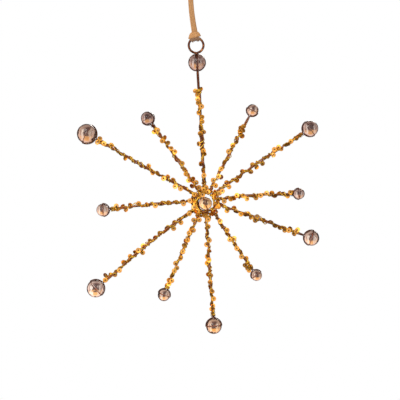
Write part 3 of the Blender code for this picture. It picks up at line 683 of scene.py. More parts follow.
def worn(tree, handled, patch, grain, amount):
    """Where a metal is worn, and the height of its dents, from the group for handled metal."""
    inputs = {"Vector": coordinates(tree), "Patch Scale": patch, "Grain Scale": grain, "Amount": amount}
    return map(Signal, new_node(tree, "ShaderNodeGroup", inputs, node_tree=handled).outputs)


def wire_finish(name, colours, handled, amount, twisted):
    """Dark lacquered copper wire, with the copper showing in streaks. amount is how much shows.

    A twisted wire has the slanting stripes of two fine wires laid round each other.
    """
    finish, tree, shader = new_finish(name)
    copper, height = worn(tree, handled, 420.0, 5200.0, amount)
    bare = attribute(tree, "bare")
    if twisted:
        along, turn, _ = parts(attribute(tree, "lie", "Vector"))
        stripe = ((along * (1 / STRIPE_PITCH) + turn) * FULL_TURN).maths("SINE") * 0.5 + 0.5
        shown = 1.0 - bare.within(1 / PLAIN_COPPER)
        copper = stripe * (copper * 0.5 + 0.6) * shown
        height = stripe * shown * 3.0 + height
    copper = copper.maths("MAXIMUM", bare)
    fill(shader, {"Base Color": blend(copper, colours.wire_dark, colours.wire_copper),
                  "Roughness": copper * -0.1 + 0.40, "Metallic": 0.96, "Coat Weight": 0.04,
                  "Coat Roughness": 0.25, "Normal": bump(height, 0.03 * MM, 0.5)})
    return finish


def gold_wire_finish(colours, handled):
    """Bright yellow-gold wire, dulled in patches, and darkened with painted shade where it passes through a
    sequin.
    """
    finish, tree, shader = new_finish("gold_wire_finish")
    wear, height = worn(tree, handled, 300.0, 6000.0, 0.22)
    colour = blend(wear, colours.gold_wire, scaled(colours.gold_wire, 0.6))
    # Painted shade: the wire is darkened to the core's dark colour where it passes through a sequin.
    colour = blend(attribute(tree, "tarnish"), colour, colours.wire_dark)
    fill(shader, {"Base Color": colour, "Roughness": wear * 0.12 + 0.34, "Metallic": 0.7,
                  "Normal": bump(height, 0.02 * MM, 0.4)})
    return finish


def sequin_finish(colours, handled):
    """Thin metal-coated sequins: a tone painted for the light each catches, and painted shade at the edge and
    round the hole.
    """
    finish, tree, shader = new_finish("sequin_finish")
    reach = attribute(tree, "reach")
    wear, height = worn(tree, handled, 650.0, 7000.0, 0.3)
    # Painted light: the tone runs from deep to pale, pale for sequins that face the front as if lit, deep for
    # those leaning away as if shaded.
    colour = blend(attribute(tree, "tone"), colours.sequin_deep, colours.sequin_pale)
    # Painted shade: the outer edge deepens.
    colour = blend(ramp(reach, (0.55, 0.0), (0.92, 0.85)), colour, colours.sequin_deep)
    # Painted shade: a dark ring round the hole.
    colour = blend(ramp(reach, (0.0, 0.9), (0.1, 0.6), (0.26, 0.0)), colour, colours.wire_dark)
    colour = blend(wear * 0.35, colour, colours.sequin_deep)
    fill(shader, {"Base Color": colour, "Roughness": wear * 0.2 + 0.29, "Metallic": 0.92,
                  "Coat Weight": 0.35, "Coat Roughness": 0.22, "Normal": bump(height, 0.02 * MM, 0.35)})
    return finish


def glass_finish(colours):
    """Rose glass with smoky veins, amber patches and a ripple, as much as each bead's own values say."""
    finish, tree, shader = new_finish("rose_glass_finish")
    where = coordinates(tree)
    vein = ramp(noise(where, 190.0, 2.0, 0.8), (0.40, 0.55), (0.62, 1.0))
    patch = ramp(noise(where, 150.0, 1.0), (0.45, 0.5), (0.60, 1.0))
    colour = blend(attribute(tree, "smoke") * vein, colours.glass, colours.glass_smoke)
    colour = blend(attribute(tree, "amber") * patch, colour, colours.glass_amber)
    fill(shader, {"Base Color": colour, "Roughness": 0.02, "IOR": 1.5, "Transmission Weight": 1.0,
                  "Normal": bump(noise(where, 330.0, 1.0), 0.9 * MM, 0.9)})
    return finish


def ribbon_finish(name, base, weave):
    """Narrow woven ribbon with a soft sheen. Its pattern follows the piece's own weave attribute."""
    finish, tree, shader = new_finish(name)
    woven = new_node(tree, "ShaderNodeGroup", {"Place": attribute(tree, "weave", "Vector")}, node_tree=weave)
    thread, edge, height = map(Signal, woven.outputs)
    pale = scaled(base, 1.45)
    colour = blend(edge * 0.35, blend(thread, scaled(base, 0.62), pale), pale)
    fill(shader, {"Base Color": colour, "Roughness": thread * 0.2 + 0.5, "Sheen Weight": 0.35,
                  "Sheen Roughness": 0.4, "Normal": bump(height, 0.05 * MM, 0.6)})
    return finish


def floor_finish(colours):
    """A matt pale floor that glows more towards its edge, so that it fades into the white surround."""
    finish, tree, shader = new_finish("floor_finish")
    where = coordinates(tree)
    colour = blend(noise(where, 6.0, 4.0), colours.floor, scaled(colours.floor, 0.94))
    away = vector_maths("LENGTH", where, output="Value") / FLOOR_RADIUS
    glow = blend(ramp(away, (0.35, 0.0), (0.97, 1.0)), scaled(colours.floor, FLOOR_GLOW), (1.0, 1.0, 1.0))
    fill(shader, {"Base Color": colour, "Roughness": 0.8, "Emission Color": glow, "Emission Strength": 1.0})
    return finish


FINISHES = {}


def make_finishes(colours):
    handled, weave = handled_group(), weave_group()
    FINISHES.update(
        wire=wire_finish("dark_wire_finish", colours, handled, 0.30, False),
        twisted=wire_finish("twisted_wire_finish", colours, handled, 0.50, True),
        copper=wire_finish("copper_wire_finish", colours, handled, 0.75, False),
        gold_wire=gold_wire_finish(colours, handled),
        sequin=sequin_finish(colours, handled),
        glass=glass_finish(colours),
        ribbon=ribbon_finish("ribbon_finish", colours.ribbon, weave),
        # The ribbon with painted shade, for the hitch's legs.
        ribbon_back=ribbon_finish("ribbon_shaded_finish", colours.ribbon_shade, weave),
        floor=floor_finish(colours),
    )


# Core wires.


def neck_drop(ray, sizes):
    """How far below the bead's centre its two strands have come together."""
    side = NECK_WIRE / 2 + NECK_BEND
    return math.sqrt((ray.bead / 2 + sizes.bead_gap + side)**2 - side**2)


def core_top(ray, sizes):
    """Where the twist of a ray's strands ends."""
    if ray.number == 1:
        return ray.length - ray.bead / 2 - BARE_STEM - STEM_EASE
    return ray.length - neck_drop(ray, sizes)


def twist(ray, sizes, distance):
    """The angle through which a ray's strands have turned round each other."""
    return FULL_TURN * (core_top(ray, sizes) - distance) / TWIST_PITCH


def sway(ray, sizes, distance):
    """The ray's sideways bow: bow sin squared of its share of the way, with a small wander."""
    share = np.clip((distance - ray.start) / (core_top(ray, sizes) - ray.start), 0, 1)
    wave = wander(np.random.default_rng(ray.number), distance, SWAY_WAVE)
    return ray.bow * np.sin(math.pi * share) ** 2 + SWAY * np.sin(math.pi * share) * wave


def neck_share(ray, sizes, distance):
    """0 along a ray, rising to 1 over the last stretch before its bead's neck."""
    share = np.clip(1 + (distance - core_top(ray, sizes)) / NECK_LENGTH, 0, 1)
    return share * share * (3 - 2 * share)


def strand(ray, sizes, offset):
    """One strand of a ray's core: x and y go round the ray's line once in a twist pitch."""
    top = core_top(ray, sizes)
    distance = np.linspace(ray.start - HUB_OVERLAP, top, int((top - ray.start) / WIRE_STEP))
    turn = twist(ray, sizes, distance)
    if ray.number > 1:
        thinner = (sizes.core_wire + sizes.strand_gap - NECK_WIRE) / 2 * neck_share(ray, sizes, distance)
        offset = offset - math.copysign(1, offset) * thinner
    x = sway(ray, sizes, distance) + offset * np.cos(turn)
    return np.stack([x, offset * np.sin(turn), distance], 1)


def bead_side(ray, sizes):
    """Half of the loop round a bead: arcs from the neck, round its side and into its hole."""
    hug = ray.bead / 2 + sizes.bead_gap + np.linspace(NECK_WIRE, sizes.bead_wire, ARC_POINTS) / 2
    neck_x, neck_z = NECK_WIRE / 2 + NECK_BEND, -neck_drop(ray, sizes)
    mouth_x = math.sqrt((hug[-1] - HOLE_BEND) ** 2 - HOLE_BEND**2)
    neck_angle, mouth_angle = math.atan2(-neck_z, -neck_x), math.atan2(-HOLE_BEND, mouth_x)
    neck = arc(neck_x, neck_z, NECK_BEND, math.pi, neck_angle, BEND_POINTS)
    side = arc(0, 0, hug, neck_angle - math.pi, mouth_angle, ARC_POINTS)
    mouth = arc(mouth_x, -HOLE_BEND, HOLE_BEND, mouth_angle, math.pi / 2, BEND_POINTS)
    return np.concatenate([neck[1:], side[1:], mouth[1:]]) + [0, 0, ray.length]


def hairpin(ray, sizes):
    """A ray's wire: out along one strand, through the bead from side to side, back along the other."""
    offset = (sizes.core_wire + sizes.strand_gap) / 2
    right = bead_side(ray, sizes)
    left = right * [-1, 1, 1]
    hole = np.linspace(right[-1], left[-1], HOLE_POINTS)[1:-1]
    out, back = strand(ray, sizes, offset), strand(ray, sizes, -offset)
    return np.concatenate([out, right, hole, left[::-1], back[::-1]])


def make_core(ray, sizes):
    """The dark core wire of a plain ray.

    Round the bead it is as thick as its middle line leaves room for. In the hole it is thinner, and
    bare copper.
    """
    path = hairpin(ray, sizes)
    from_bead = np.hypot(path[:, 0], path[:, 2] - ray.length) - ray.bead / 2
    in_hole = from_bead < HOLE_MARGIN
    neck = neck_share(ray, sizes, path[:, 2])
    along = sizes.core_wire + (NECK_WIRE - sizes.core_wire) * neck
    thick = np.clip(2 * (from_bead - sizes.bead_gap), sizes.bead_wire, along)
    shell = tube(world_of(ray, path), np.where(in_hole, sizes.hole_wire, thick) / 2, CORE_SIDES)
    bare = np.where(in_hole, 1.0, PLAIN_COPPER * neck)
    name = f"ray_{ray.number:02d}"
    new_piece(f"{name}_core", shell, "twisted", stands_for=(f"{name}_wire",), lie=lie_of(path),
              bare=with_ends(np.repeat(bare, CORE_SIDES)))


def ring_radius():
    """The radius of the ring's middle line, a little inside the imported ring's outer edge."""
    return float(joint("ring_slide")[0][0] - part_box("hanging_ring")[0].x) - RING_INSET


def ring_and_stem(ray, sizes):
    """The hanging ring's wire, in the first ray's frame: the eye, a bend, and the stem down the ray."""
    radius = ring_radius()
    centre = float(np.linalg.norm(joint("ring_slide")[0] - ray.meeting))
    free_end = math.asin(FREE_END / radius) - math.pi / 2
    bend_z = -math.sqrt((radius + STEM_BEND) ** 2 - STEM_BEND**2)
    leaving = math.atan2(bend_z, -STEM_BEND) + FULL_TURN
    eye = arc(0, centre, radius, free_end, leaving, RING_POINTS)
    bend = arc(-STEM_BEND, centre + bend_z, STEM_BEND, leaving - math.pi, 0, BEND_POINTS)
    loop = np.concatenate([eye, bend[1:]])
    loop[:, 2] = centre + (loop[:, 2] - centre) * np.where(loop[:, 2] < centre, RING_OVAL, 1)
    top, high = core_top(ray, sizes), loop[-1, 2]
    low = top + STEM_EASE
    straight = np.linspace([0, 0, high], [0, 0, low], int((high - low) / WIRE_STEP))
    offset = (sizes.strand_gap + sizes.core_wire) / 2
    share = np.linspace(1, 0, EASE_POINTS)
    eased = np.stack([offset * (1 + np.cos(math.pi * share)) / 2, 0 * share, top + STEM_EASE * share], 1)
    down = strand(ray, sizes, offset)[::-1]
    return np.concatenate([loop, straight[1:], eased[1:], down[1:]])


def make_hanging_ring(sizes):
    """The ring with its stem, and the thinner companion strand of the first ray."""
    ray = RAYS[0]
    path = ring_and_stem(ray, sizes)
    below = np.clip((ray.length - ray.bead / 2 - path[:, 2]) / MM, 0, 1)
    shell = tube(world_of(ray, path), sizes.stem_wire / 2 * (1 + STEM_SWELL * below), STEM_SIDES)
    inside = np.abs(path[:, 2] - ray.length) < ray.bead / 2 - BEAD_LIP
    new_piece("ring_and_stem", shell, "wire", stands_for=("hanging_ring",),
              bare=with_ends(np.repeat(inside * 1.0, STEM_SIDES)))
    path = strand(ray, sizes, -(sizes.strand_gap + sizes.stem_wire) / 2)
    shell = tube(world_of(ray, path), sizes.core_wire / 2, CORE_SIDES)
    new_piece("ray_01_core", shell, "twisted", stands_for=("ray_01_wire",), lie=lie_of(path))


# Sequins.


def listed(entries):
    """The sequins that a line of the list describes. Their side is -1 in front of the core, 1 behind."""
    for entry in entries.split(", "):
        along, beside, (look, side) = entry.split()
        tone, lean = LOOKS[look]
        place = float(along), float(beside)
        yield Sequin(place, tone, math.radians(lean), look == "e", 1 if side == "b" else -1)


def facing(chance, sequin, beside):
    """Which way a sequin faces, in a frame whose y is front to back.

    It leans away from straight front or back in a random direction, or sideways if it stands edge-on.
    """
    lean = sequin.lean + math.radians(chance.normal(0, LEAN_SPREAD))
    turn = (0 if beside > 0 else math.pi) if sequin.edge_on else chance.uniform(0, FULL_TURN)
    turn += chance.normal(0, TURN_SPREAD)
    out = math.sin(lean)
    return np.array([out * math.cos(turn), sequin.side * math.cos(lean), out * math.sin(turn)])


def make_sequins(name, sizes, places, facings, tones, chance):
    """All sequins of a piece at once: thin shallow cones with a hole, each slightly bent.

    point(s, j, a) = place(s) + r(j) (cos a one(s) + sin a two(s)) + height facing(s), where j goes
    round the cone's section, and height is the cup, which grows with r and opens either way, half the
    thickness to one or the other side, and a bend that goes as r squared times cos 2a.
    """
    inner, outer, half = sizes.sequin_hole / 2, sizes.sequin / 2, sizes.sequin_thickness / 2
    r = np.array([inner, outer, outer, inner])
    z = (sizes.sequin_cup * r / outer + [-half, -half, half, half])[None, :, None, None]
    r = r[None, :, None, None]
    one = unit(np.cross(facings, OFF_FACING))
    two = np.cross(facings, one)
    angle = turn_steps(SEQUIN_SIDES)[None, None, :, None]
    count = len(places)
    bend = chance.uniform(-1, 1, count)[:, None, None, None] * SEQUIN_BEND
    cup = chance.choice([-1, 1], count)[:, None, None, None]
    phase = chance.uniform(0, FULL_TURN, count)[:, None, None, None]
    spread = np.cos(angle) * one[:, None, None] + np.sin(angle) * two[:, None, None] * cup
    height = z * cup + bend * (2 * r / sizes.sequin) ** 2 * np.cos(2 * angle + phase)
    points = places[:, None, None] + r * spread + height * facings[:, None, None]
    each = 4 * SEQUIN_SIDES
    faces = grid_faces(4, SEQUIN_SIDES, True) + np.arange(count)[:, None, None] * each
    reach = np.tile(np.repeat([0.0, 1.0, 1.0, 0.0], SEQUIN_SIDES), count)
    new_piece(name, (points.reshape(-1, 3), [faces.reshape(-1, 4)]), "sequin", crisp=True,
              tone=np.repeat(tones, each), reach=reach)


# Wire wound round the rays.


def core_oval(ray, sizes, distance, angle, wire, gap):
    """How far from the ray's line a wire lies that is wound on the oval of the twisted pair."""
    core = sizes.stem_wire if ray.number == 1 else sizes.core_wire
    long = (core + sizes.strand_gap + sizes.core_wire) / 2 + wire / 2
    short = (sizes.core_wire + wire) / 2
    from_pair = angle - twist(ray, sizes, distance)
    return long * short / np.hypot(short * np.cos(from_pair), long * np.sin(from_pair)) + gap


def wound(ray, sizes, distance, angle, reach):
    """World points at a distance along a ray, and at an angle and a reach round its line."""
    x = reach * np.cos(angle) + sway(ray, sizes, distance)
    return world_of(ray, np.stack([x, reach * np.sin(angle), distance], 1))


def winding_angle(distance, sites, angles, pitch):
    """The angle of a wire that passes every site at its angle.

    From each site to the next it makes as many turns as keep it nearest to its pitch.
    """
    total = [angles[0]]
    for step, travel in zip(np.diff(angles), np.diff(sites)):
        wanted = FULL_TURN * travel / pitch
        total.append(total[-1] + step + FULL_TURN * round((wanted - step) / FULL_TURN))
    before = angles[0] - FULL_TURN * (sites[0] - distance[0]) / pitch
    return np.interp(distance, [distance[0], *sites], [before, *total])


def bells(distance, centres, width):
    """For each distance and each centre, a bell of height 1 about the centre."""
    return np.exp(-(((distance[:, None] - centres) / width) ** 2))


def sequin_places(ray, sizes, sequins, chance):
    """Where a ray's sequins lie: beside the ray's line, before or behind it, and along it."""
    along, beside = (np.array([sequin.place for sequin in sequins]) * MM).T
    core = (sizes.core_wire + sizes.strand_gap) / 2 * abs(np.sin(twist(ray, sizes, along)))
    depth = core + sizes.core_wire / 2 + chance.uniform(*RELIEF, len(along)) * MM
    return np.stack([beside, depth * [sequin.side for sequin in sequins], along], 1)


def wind(ray, sizes, places, chance):
    """The gold wire's path in the ray's frame, through its sequins' places, and its painted shade at them.

    The wire goes round on the oval of the twisted pair. Near a sequin, and where it has come loose, it
    leaves the oval for a place beside it: path = (1 - w) oval + w place, where w is a bell.
    """
    beside, depth, sites = places.T
    spots = np.stack([beside - sway(ray, sizes, sites), depth], 1)
    pitch = sizes.winding_pitch
    distance = np.arange(ray.start + GOLD_START, sites[-1] + GOLD_END, pitch / POINTS_PER_TURN)
    angle = winding_angle(distance, sites, np.arctan2(depth, spots[:, 0]), pitch)
    oval = core_oval(ray, sizes, distance, angle, sizes.gold_wire, ON_CORE)
    around = np.stack([np.cos(angle), np.sin(angle)], 1)
    loose = chance.uniform(distance[0], distance[-1], max(1, int(np.ptp(distance) * LOOSE_PER_METRE)))
    at = np.stack([np.interp(loose, distance, around[:, k]) for k in (0, 1)], 1)
    all_spots = np.concatenate([spots, unit(at) * chance.uniform(*LOOSE_REACH, (len(loose), 1)) * MM])
    width = np.repeat([BELL_WIDTH, LOOSE_BELL * BELL_WIDTH], [len(sites), len(loose)])
    weights = bells(distance, np.append(sites, loose), width)
    reach = weights.max(1)[:, None]
    flat = (1 - reach) * oval[:, None] * around + reach * all_spots[weights.argmax(1)]
    path = np.stack([flat[:, 0] + sway(ray, sizes, distance), flat[:, 1], distance], 1)
    return path, bells(distance, sites, HOLE_SHADE_WIDTH).max(1)


def second_wire(ray, sizes, stop, chance):
    """A second gold wire with a longer pitch, close on the core but for a few slack bows."""
    distance = np.arange(ray.start + GOLD_START, stop, sizes.winding_pitch / POINTS_PER_TURN)
    angle = chance.uniform(0, FULL_TURN) + FULL_TURN * distance / SECOND_PITCH
    angle = angle + wander(chance, distance, DRIFT_WAVE)
    oval = core_oval(ray, sizes, distance, angle, sizes.second_wire, ON_CORE)
    slack = np.clip(wander(chance, distance, SLACK_WAVE) - SLACK_FROM, 0, 1)
    return wound(ray, sizes, distance, angle, oval + SLACK * slack)


def coil(ray, sizes, start, stop, wire):
    """A tight helix round a ray's core, on the oval of its twisted pair."""
    distance = np.arange(start * MM, stop * MM, COIL_PITCH / POINTS_PER_COIL)
    angle = FULL_TURN * (distance - start * MM) / COIL_PITCH
    oval = core_oval(ray, sizes, distance, angle, wire, COIL_GAP)
    return tube(wound(ray, sizes, distance, angle, oval), wire / 2, GOLD_SIDES)


def make_garland(ray, sizes):
    """A ray's gold wires and the sequins on them."""
    chance = np.random.default_rng(GARLAND_SEED + ray.number)
    sequins = list(listed(SEQUINS[ray.number - 1]))
    places = sequin_places(ray, sizes, sequins, chance)
    path, tarnish = wind(ray, sizes, places, chance)
    facings = np.array([facing(chance, sequin, x) for sequin, x in zip(sequins, places[:, 0])])
    second = second_wire(ray, sizes, path[-1, 2] - SECOND_SHORT, chance)
    coils = [coil(ray, sizes, *ends, sizes.gold_wire) for number, *ends in COILS if number == ray.number]
    shell = joined([tube(world_of(ray, path), sizes.gold_wire / 2, GOLD_SIDES),
                    tube(second, sizes.second_wire / 2, GOLD_SIDES), *coils])
    # The first wire's painted shade at its sequins; the second wire and the coils get none.
    dark = np.zeros(len(shell[0]))
    dark[:len(path) * GOLD_SIDES] = np.repeat(tarnish, GOLD_SIDES)
    name = f"ray_{ray.number:02d}"
    new_piece(f"{name}_gold_wire", shell, "gold_wire", stands_for=(f"{name}_sequins",), tarnish=dark)
    tones = np.clip([sequin.tone + chance.normal(0, TONE_SPREAD) for sequin in sequins], 0, 1)
    make_sequins(f"{name}_discs", sizes, world_of(ray, places), facings @ axes(ray), tones, chance)


def make_whippings(sizes):
    """Wire wound tightly round the core below some beads."""
    for number, start, stop, finish in WHIPPINGS:
        shell = coil(RAYS[number - 1], sizes, start, stop, sizes.bead_wire)
        new_piece(f"ray_{number:02d}_whipping", shell, finish)


# Beads.


def bead_profile(diameter, hole):
    """A ball's outline from one end of its hole to the other, and back inside the hole."""
    radius = diameter / 2
    edge = math.asin(hole / radius)
    angle = np.linspace(edge - math.pi / 2, math.pi / 2 - edge, BEAD_ROWS)
    outside = np.stack([radius * np.cos(angle), radius * np.sin(angle)], 1)
    reach = outside[-1, 1]
    back = np.linspace(reach, -reach, BEAD_HOLE_ROWS + 2)[1:-1]
    return np.concatenate([outside, np.stack([np.full(BEAD_HOLE_ROWS, hole), back], 1)])


def uneven(points, number):
    """A hand-made bead's unevenness: its points times a factor from four slow waves over it."""
    chance = np.random.default_rng(BEAD_SEED + number)
    ways = unit(chance.normal(size=(4, 3)))
    turn = points @ ways.T * UNEVEN_WAVES + chance.uniform(0, FULL_TURN, 4)
    return points * (1 + UNEVEN * (1 + np.sin(turn).sum(-1)))[..., None]


def make_bead(name, centre, axis, wire, body, number):
    """A glass bead with a hole along its axis for a wire. Its number is its ray's, or 0."""
    profile = bead_profile(thickness(name), wire / 2 + HOLE_ROOM)
    points = centre + uneven(turned(unit(axis), profile, BEAD_SIDES), number)
    shell = points.reshape(-1, 3), [grid_faces(len(profile), BEAD_SIDES, True)]
    smoke, amber = (np.full(len(shell[0]), value) for value in GLASS[number])
    new_piece(f"{name}_glass", shell, "glass", body, (name,), smoke=smoke, amber=amber)


def make_tip_bead(ray, sizes):
    """A bead threaded crosswise on its ray, or along it on the first."""
    name = f"tip_bead_{ray.number:02d}"
    on_stem = ray.number == 1
    axis, wire = (ray.along, sizes.stem_wire) if on_stem else (ray.across, sizes.hole_wire)
    make_bead(name, ray.meeting + ray.length * ray.along, axis, wire, "star" if on_stem else name, ray.number)


# Hub.


def about_hub(centre, angle, radius, depth):
    """Points by their clock angle and radius about the hub's centre."""
    return centre + np.stack([radius * np.sin(angle), depth, radius * np.cos(angle)], -1)


def ray_crossings(centre, radius):
    """The clock angles about the hub's centre at which the rays cross a circle."""
    angles = []
    for ray in RAYS:
        away = ray.meeting - centre
        along = float(away @ ray.along)
        reach = -along + math.sqrt(along**2 + radius**2 - float(away @ away))
        x, _, z = away + reach * ray.along
        angles.append(math.atan2(x, z))
    return np.unwrap(angles)


def hub_circle():
    """The hub ring's centre, the radius of its middle line, and half of its thickness."""
    low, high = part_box("hub_ring")
    return middle("hub_ring"), (high.x - low.x) / 2 - thickness("hub_ring") / 2, high.y


def make_hub_ring():
    """The ring that the rays are fastened to."""
    centre, radius, half = hub_circle()
    angle = turn_steps(HUB_RING_POINTS)
    shell = tube(about_hub(centre, angle, radius, 0 * angle), half, CORE_SIDES, closed=True)
    new_piece("hub_wire_ring", shell, "wire", stands_for=("hub_ring",))


def make_lashing(sizes):
    """The gold wire round the hub ring, which turns quickly where a ray meets it, and else slowly.

    Its speed is slow + fast times the sum over all rays of exp(-1.2 (angle from the ray / bell) squared).
    """
    centre, radius, half = hub_circle()
    angle = turn_steps(LASHING_POINTS)
    apart = np.angle(np.exp(1j * (angle[:, None] - ray_crossings(centre, radius))))
    turn = np.cumsum(LASHING_SLOW + LASHING_FAST * np.exp(-1.2 * (apart / LASHING_BELL) ** 2).sum(1))
    turn *= FULL_TURN * LASHING_TURNS / turn[-1]
    reach = half + sizes.gold_wire / 2 + LASHING_GAP
    path = about_hub(centre, angle, radius + reach * np.cos(turn), reach * np.sin(turn))
    new_piece("hub_lashing", tube(path, sizes.gold_wire / 2, LASHING_SIDES, closed=True), "gold_wire")


def make_cross_wire(sizes):
    """The wire that crosses the hub ring and carries the centre bead."""
    centre, radius, _ = hub_circle()
    place, axis = joint("centre_bead_spin")
    halfway = float((centre - place) @ axis)
    ends = [place + (halfway + side * radius) * axis for side in (-1, 1)]
    shell = tube(np.linspace(*ends, CROSS_POINTS), sizes.bead_wire / 2, CROSS_SIDES)
    new_piece("centre_wire", shell, "wire", stands_for=("centre_cross_wire",))


def make_nest(sizes):
    """Loose turns of wire between the centre bead and the hub ring, open at the top of the bead.

    Each is an arc about the bead whose radius and depth wave a little as it goes round.
    """
    centre = joint("centre_bead_spin")[0]
    for name, (finish, strands) in NEST.items():
        shells = []
        for start, stop, radius, depth in strands:
            angle = np.radians(np.linspace(start, stop, int(abs(stop - start))))
            wavy = radius + NEST_SLOW * np.sin(4.3 * angle + radius) + NEST_FAST * np.sin(11 * angle + depth)
            deep = depth + NEST_DEEP * np.cos(3.1 * angle + radius)
            path = about_hub(centre, angle, wavy * MM, deep * MM)
            shells.append(tube(path, sizes.gold_wire / 2, GOLD_SIDES))
        new_piece(name, joined(shells), finish)


def make_binding(sizes):
    """Gold wire woven over one ray and under the next, twice round the hub."""
    centre = middle("hub_ring")
    shells = []
    for turn, radius in enumerate(BINDING_RADII):
        crossings = ray_crossings(centre, radius)
        crossings = np.append(crossings, crossings[0] + FULL_TURN)
        angle = np.linspace(crossings[0], crossings[-1], BINDING_POINTS, endpoint=False)
        passed = np.interp(angle, crossings, np.arange(RAY_COUNT + 1))
        depth = BINDING_DEPTH * np.cos(math.pi * (passed + turn))
        wavy = radius + BINDING_SWING * np.sin(BINDING_WAVES * (angle - crossings[0]) + turn)
        path = about_hub(centre, angle, wavy, depth)
        shells.append(tube(path, sizes.gold_wire / 2, GOLD_SIDES, closed=True))
    new_piece("hub_binding_wire", joined(shells), "gold_wire", stands_for=("hub_binding",))


def make_hub_sequins(sizes):
    """The sequins about the centre bead, before and behind the rays."""
    chance = np.random.default_rng(HUB_SEED)
    sequins = list(listed(HUB_SEQUINS))
    clock, radius = np.array([sequin.place for sequin in sequins]).T
    depth = chance.uniform(*HUB_DEPTHS, len(sequins)) * [sequin.side for sequin in sequins] * MM
    places = about_hub(joint("centre_bead_spin")[0], np.radians(clock), radius * MM, depth)
    facings = np.array([facing(chance, sequin, math.cos(math.radians(a)))
                        for sequin, a in zip(sequins, clock)])
    make_sequins("hub_discs", sizes, places, facings, [sequin.tone for sequin in sequins], chance)


# Ribbon.


def route():
    """The ribbon's smooth route: a curve through the listed points, each step a cubic between two.

    Between points p1 and p2, with neighbours p0 and p3, it is (2 p1 + (p2 - p0) t + (2 p0 - 5 p1 +
    4 p2 - p3) t squared + (3 p1 - 3 p2 + p3 - p0) t cubed) / 2.
    """
    last = len(RIBBON_ROUTE) - 1
    at = np.linspace(0, last, last * ROUTE_STEPS + 1)
    index = np.minimum(at.astype(int), last - 1)
    t = (at - index)[:, None]
    p0, p1, p2, p3 = (RIBBON_ROUTE[np.clip(index + shift, 0, last)] for shift in (-1, 0, 1, 2))
    return (2 * p1 + (p2 - p0) * t + (2 * p0 - 5 * p1 + 4 * p2 - p3) * t**2
            + (3 * p1 - 3 * p2 + p3 - p0) * t**3) / 2


def strip(path, across, width, thick, crown):
    """A flat ribbon along a path, with rounded edges, and its weave places.

    point(k, a) = path(k) + x across(k) + y face(k), where x = half width |cos a| to the 0.45 with the
    sign of cos a, and y = half thickness sin a + crown (1 - (x / half width) squared).
    """
    ahead = unit(np.gradient(path, axis=0))
    across = unit(across - (across * ahead).sum(1, keepdims=True) * ahead)
    face = np.cross(ahead, across)
    angle = turn_steps(STRIP_COLUMNS)
    x = width / 2 * np.sign(np.cos(angle)) * np.abs(np.cos(angle)) ** 0.45
    y = thick / 2 * np.sin(angle) + crown * (1 - (2 * x / width) ** 2)
    points = path[:, None] + x[:, None] * across[:, None] + y[:, None] * face[:, None]
    points = np.concatenate([points.reshape(-1, 3), path[:1], path[-1:]])
    along = distances(path)
    weave = np.stack([np.tile(x, len(path)), np.repeat(along, STRIP_COLUMNS),
                      np.zeros(len(path) * STRIP_COLUMNS)], 1)
    weave = np.concatenate([weave, [[0, 0, 0], [0, along[-1], 0]]])
    return (points, capped_faces(len(path), STRIP_COLUMNS)), weave


def strand_path(side):
    """A strand's middle line, run on a little into the knot and the hitch."""
    line = route()
    spread = side * STRAND_SPREAD * np.linspace(0, 1, len(line)) ** 3
    path = np.stack([line[:, 0] + spread, side * (line[:, 1] + STRAND_GAP), line[:, 2]], 1)
    tuck = path[-1] + unit(path[-1] - path[-2]) * TUCK
    return np.concatenate([[path[0] + [0, 0, TUCK]], path, np.linspace(path[-1], tuck, 4)[1:]])


def make_strands(sizes, knot):
    """The ribbon's two strands, from the knot down to the hitch."""
    neck = joint("ribbon_flex")[0]
    for name, side in (("front", -1), ("back", 1)):
        path = strand_path(side)
        across = np.tile([1.0, 0.0, 0.0], (len(path), 1))
        shell, weave = strip(path, across, sizes.ribbon_width, sizes.ribbon_thickness, STRAND_CROWN)
        piece = new_piece(f"ribbon_{name}", shell, "ribbon", None, (f"ribbon_strand_{name}",), weave=weave)
        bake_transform(piece)


def rounded(half_width, half_depth, power):
    """Rings of x and y like rounded boxes, one for each level of a form.

    x = half width c and y = half depth s, where c and s are cos a and sin a with their size raised to
    a power, so that a power under 1 squares the section.
    """
    angle = turn_steps(CLOTH_COLUMNS)
    c, s = (np.sign(part) * np.abs(part) ** power for part in (np.cos(angle), np.sin(angle)))
    return half_width[:, None] * c, half_depth[:, None] * s


def cloth_piece(name, body, place, across, up, x, y, z, weave, stands_for):
    """A closed cloth form from the rings of its levels: x runs across, y to the back and z up."""
    back = np.cross(up, across)
    points = place + x[..., None] * across + y[..., None] * back + z[..., None] * up
    points = np.concatenate([points.reshape(-1, 3), points[0].mean(0)[None], points[-1].mean(0)[None]])
    faces = [part[:, ::-1] for part in capped_faces(*x.shape)]
    weave = with_ends(np.stack(weave, -1).reshape(-1, 3))
    return new_piece(name, (points, faces), "ribbon", body, stands_for, weave=weave)


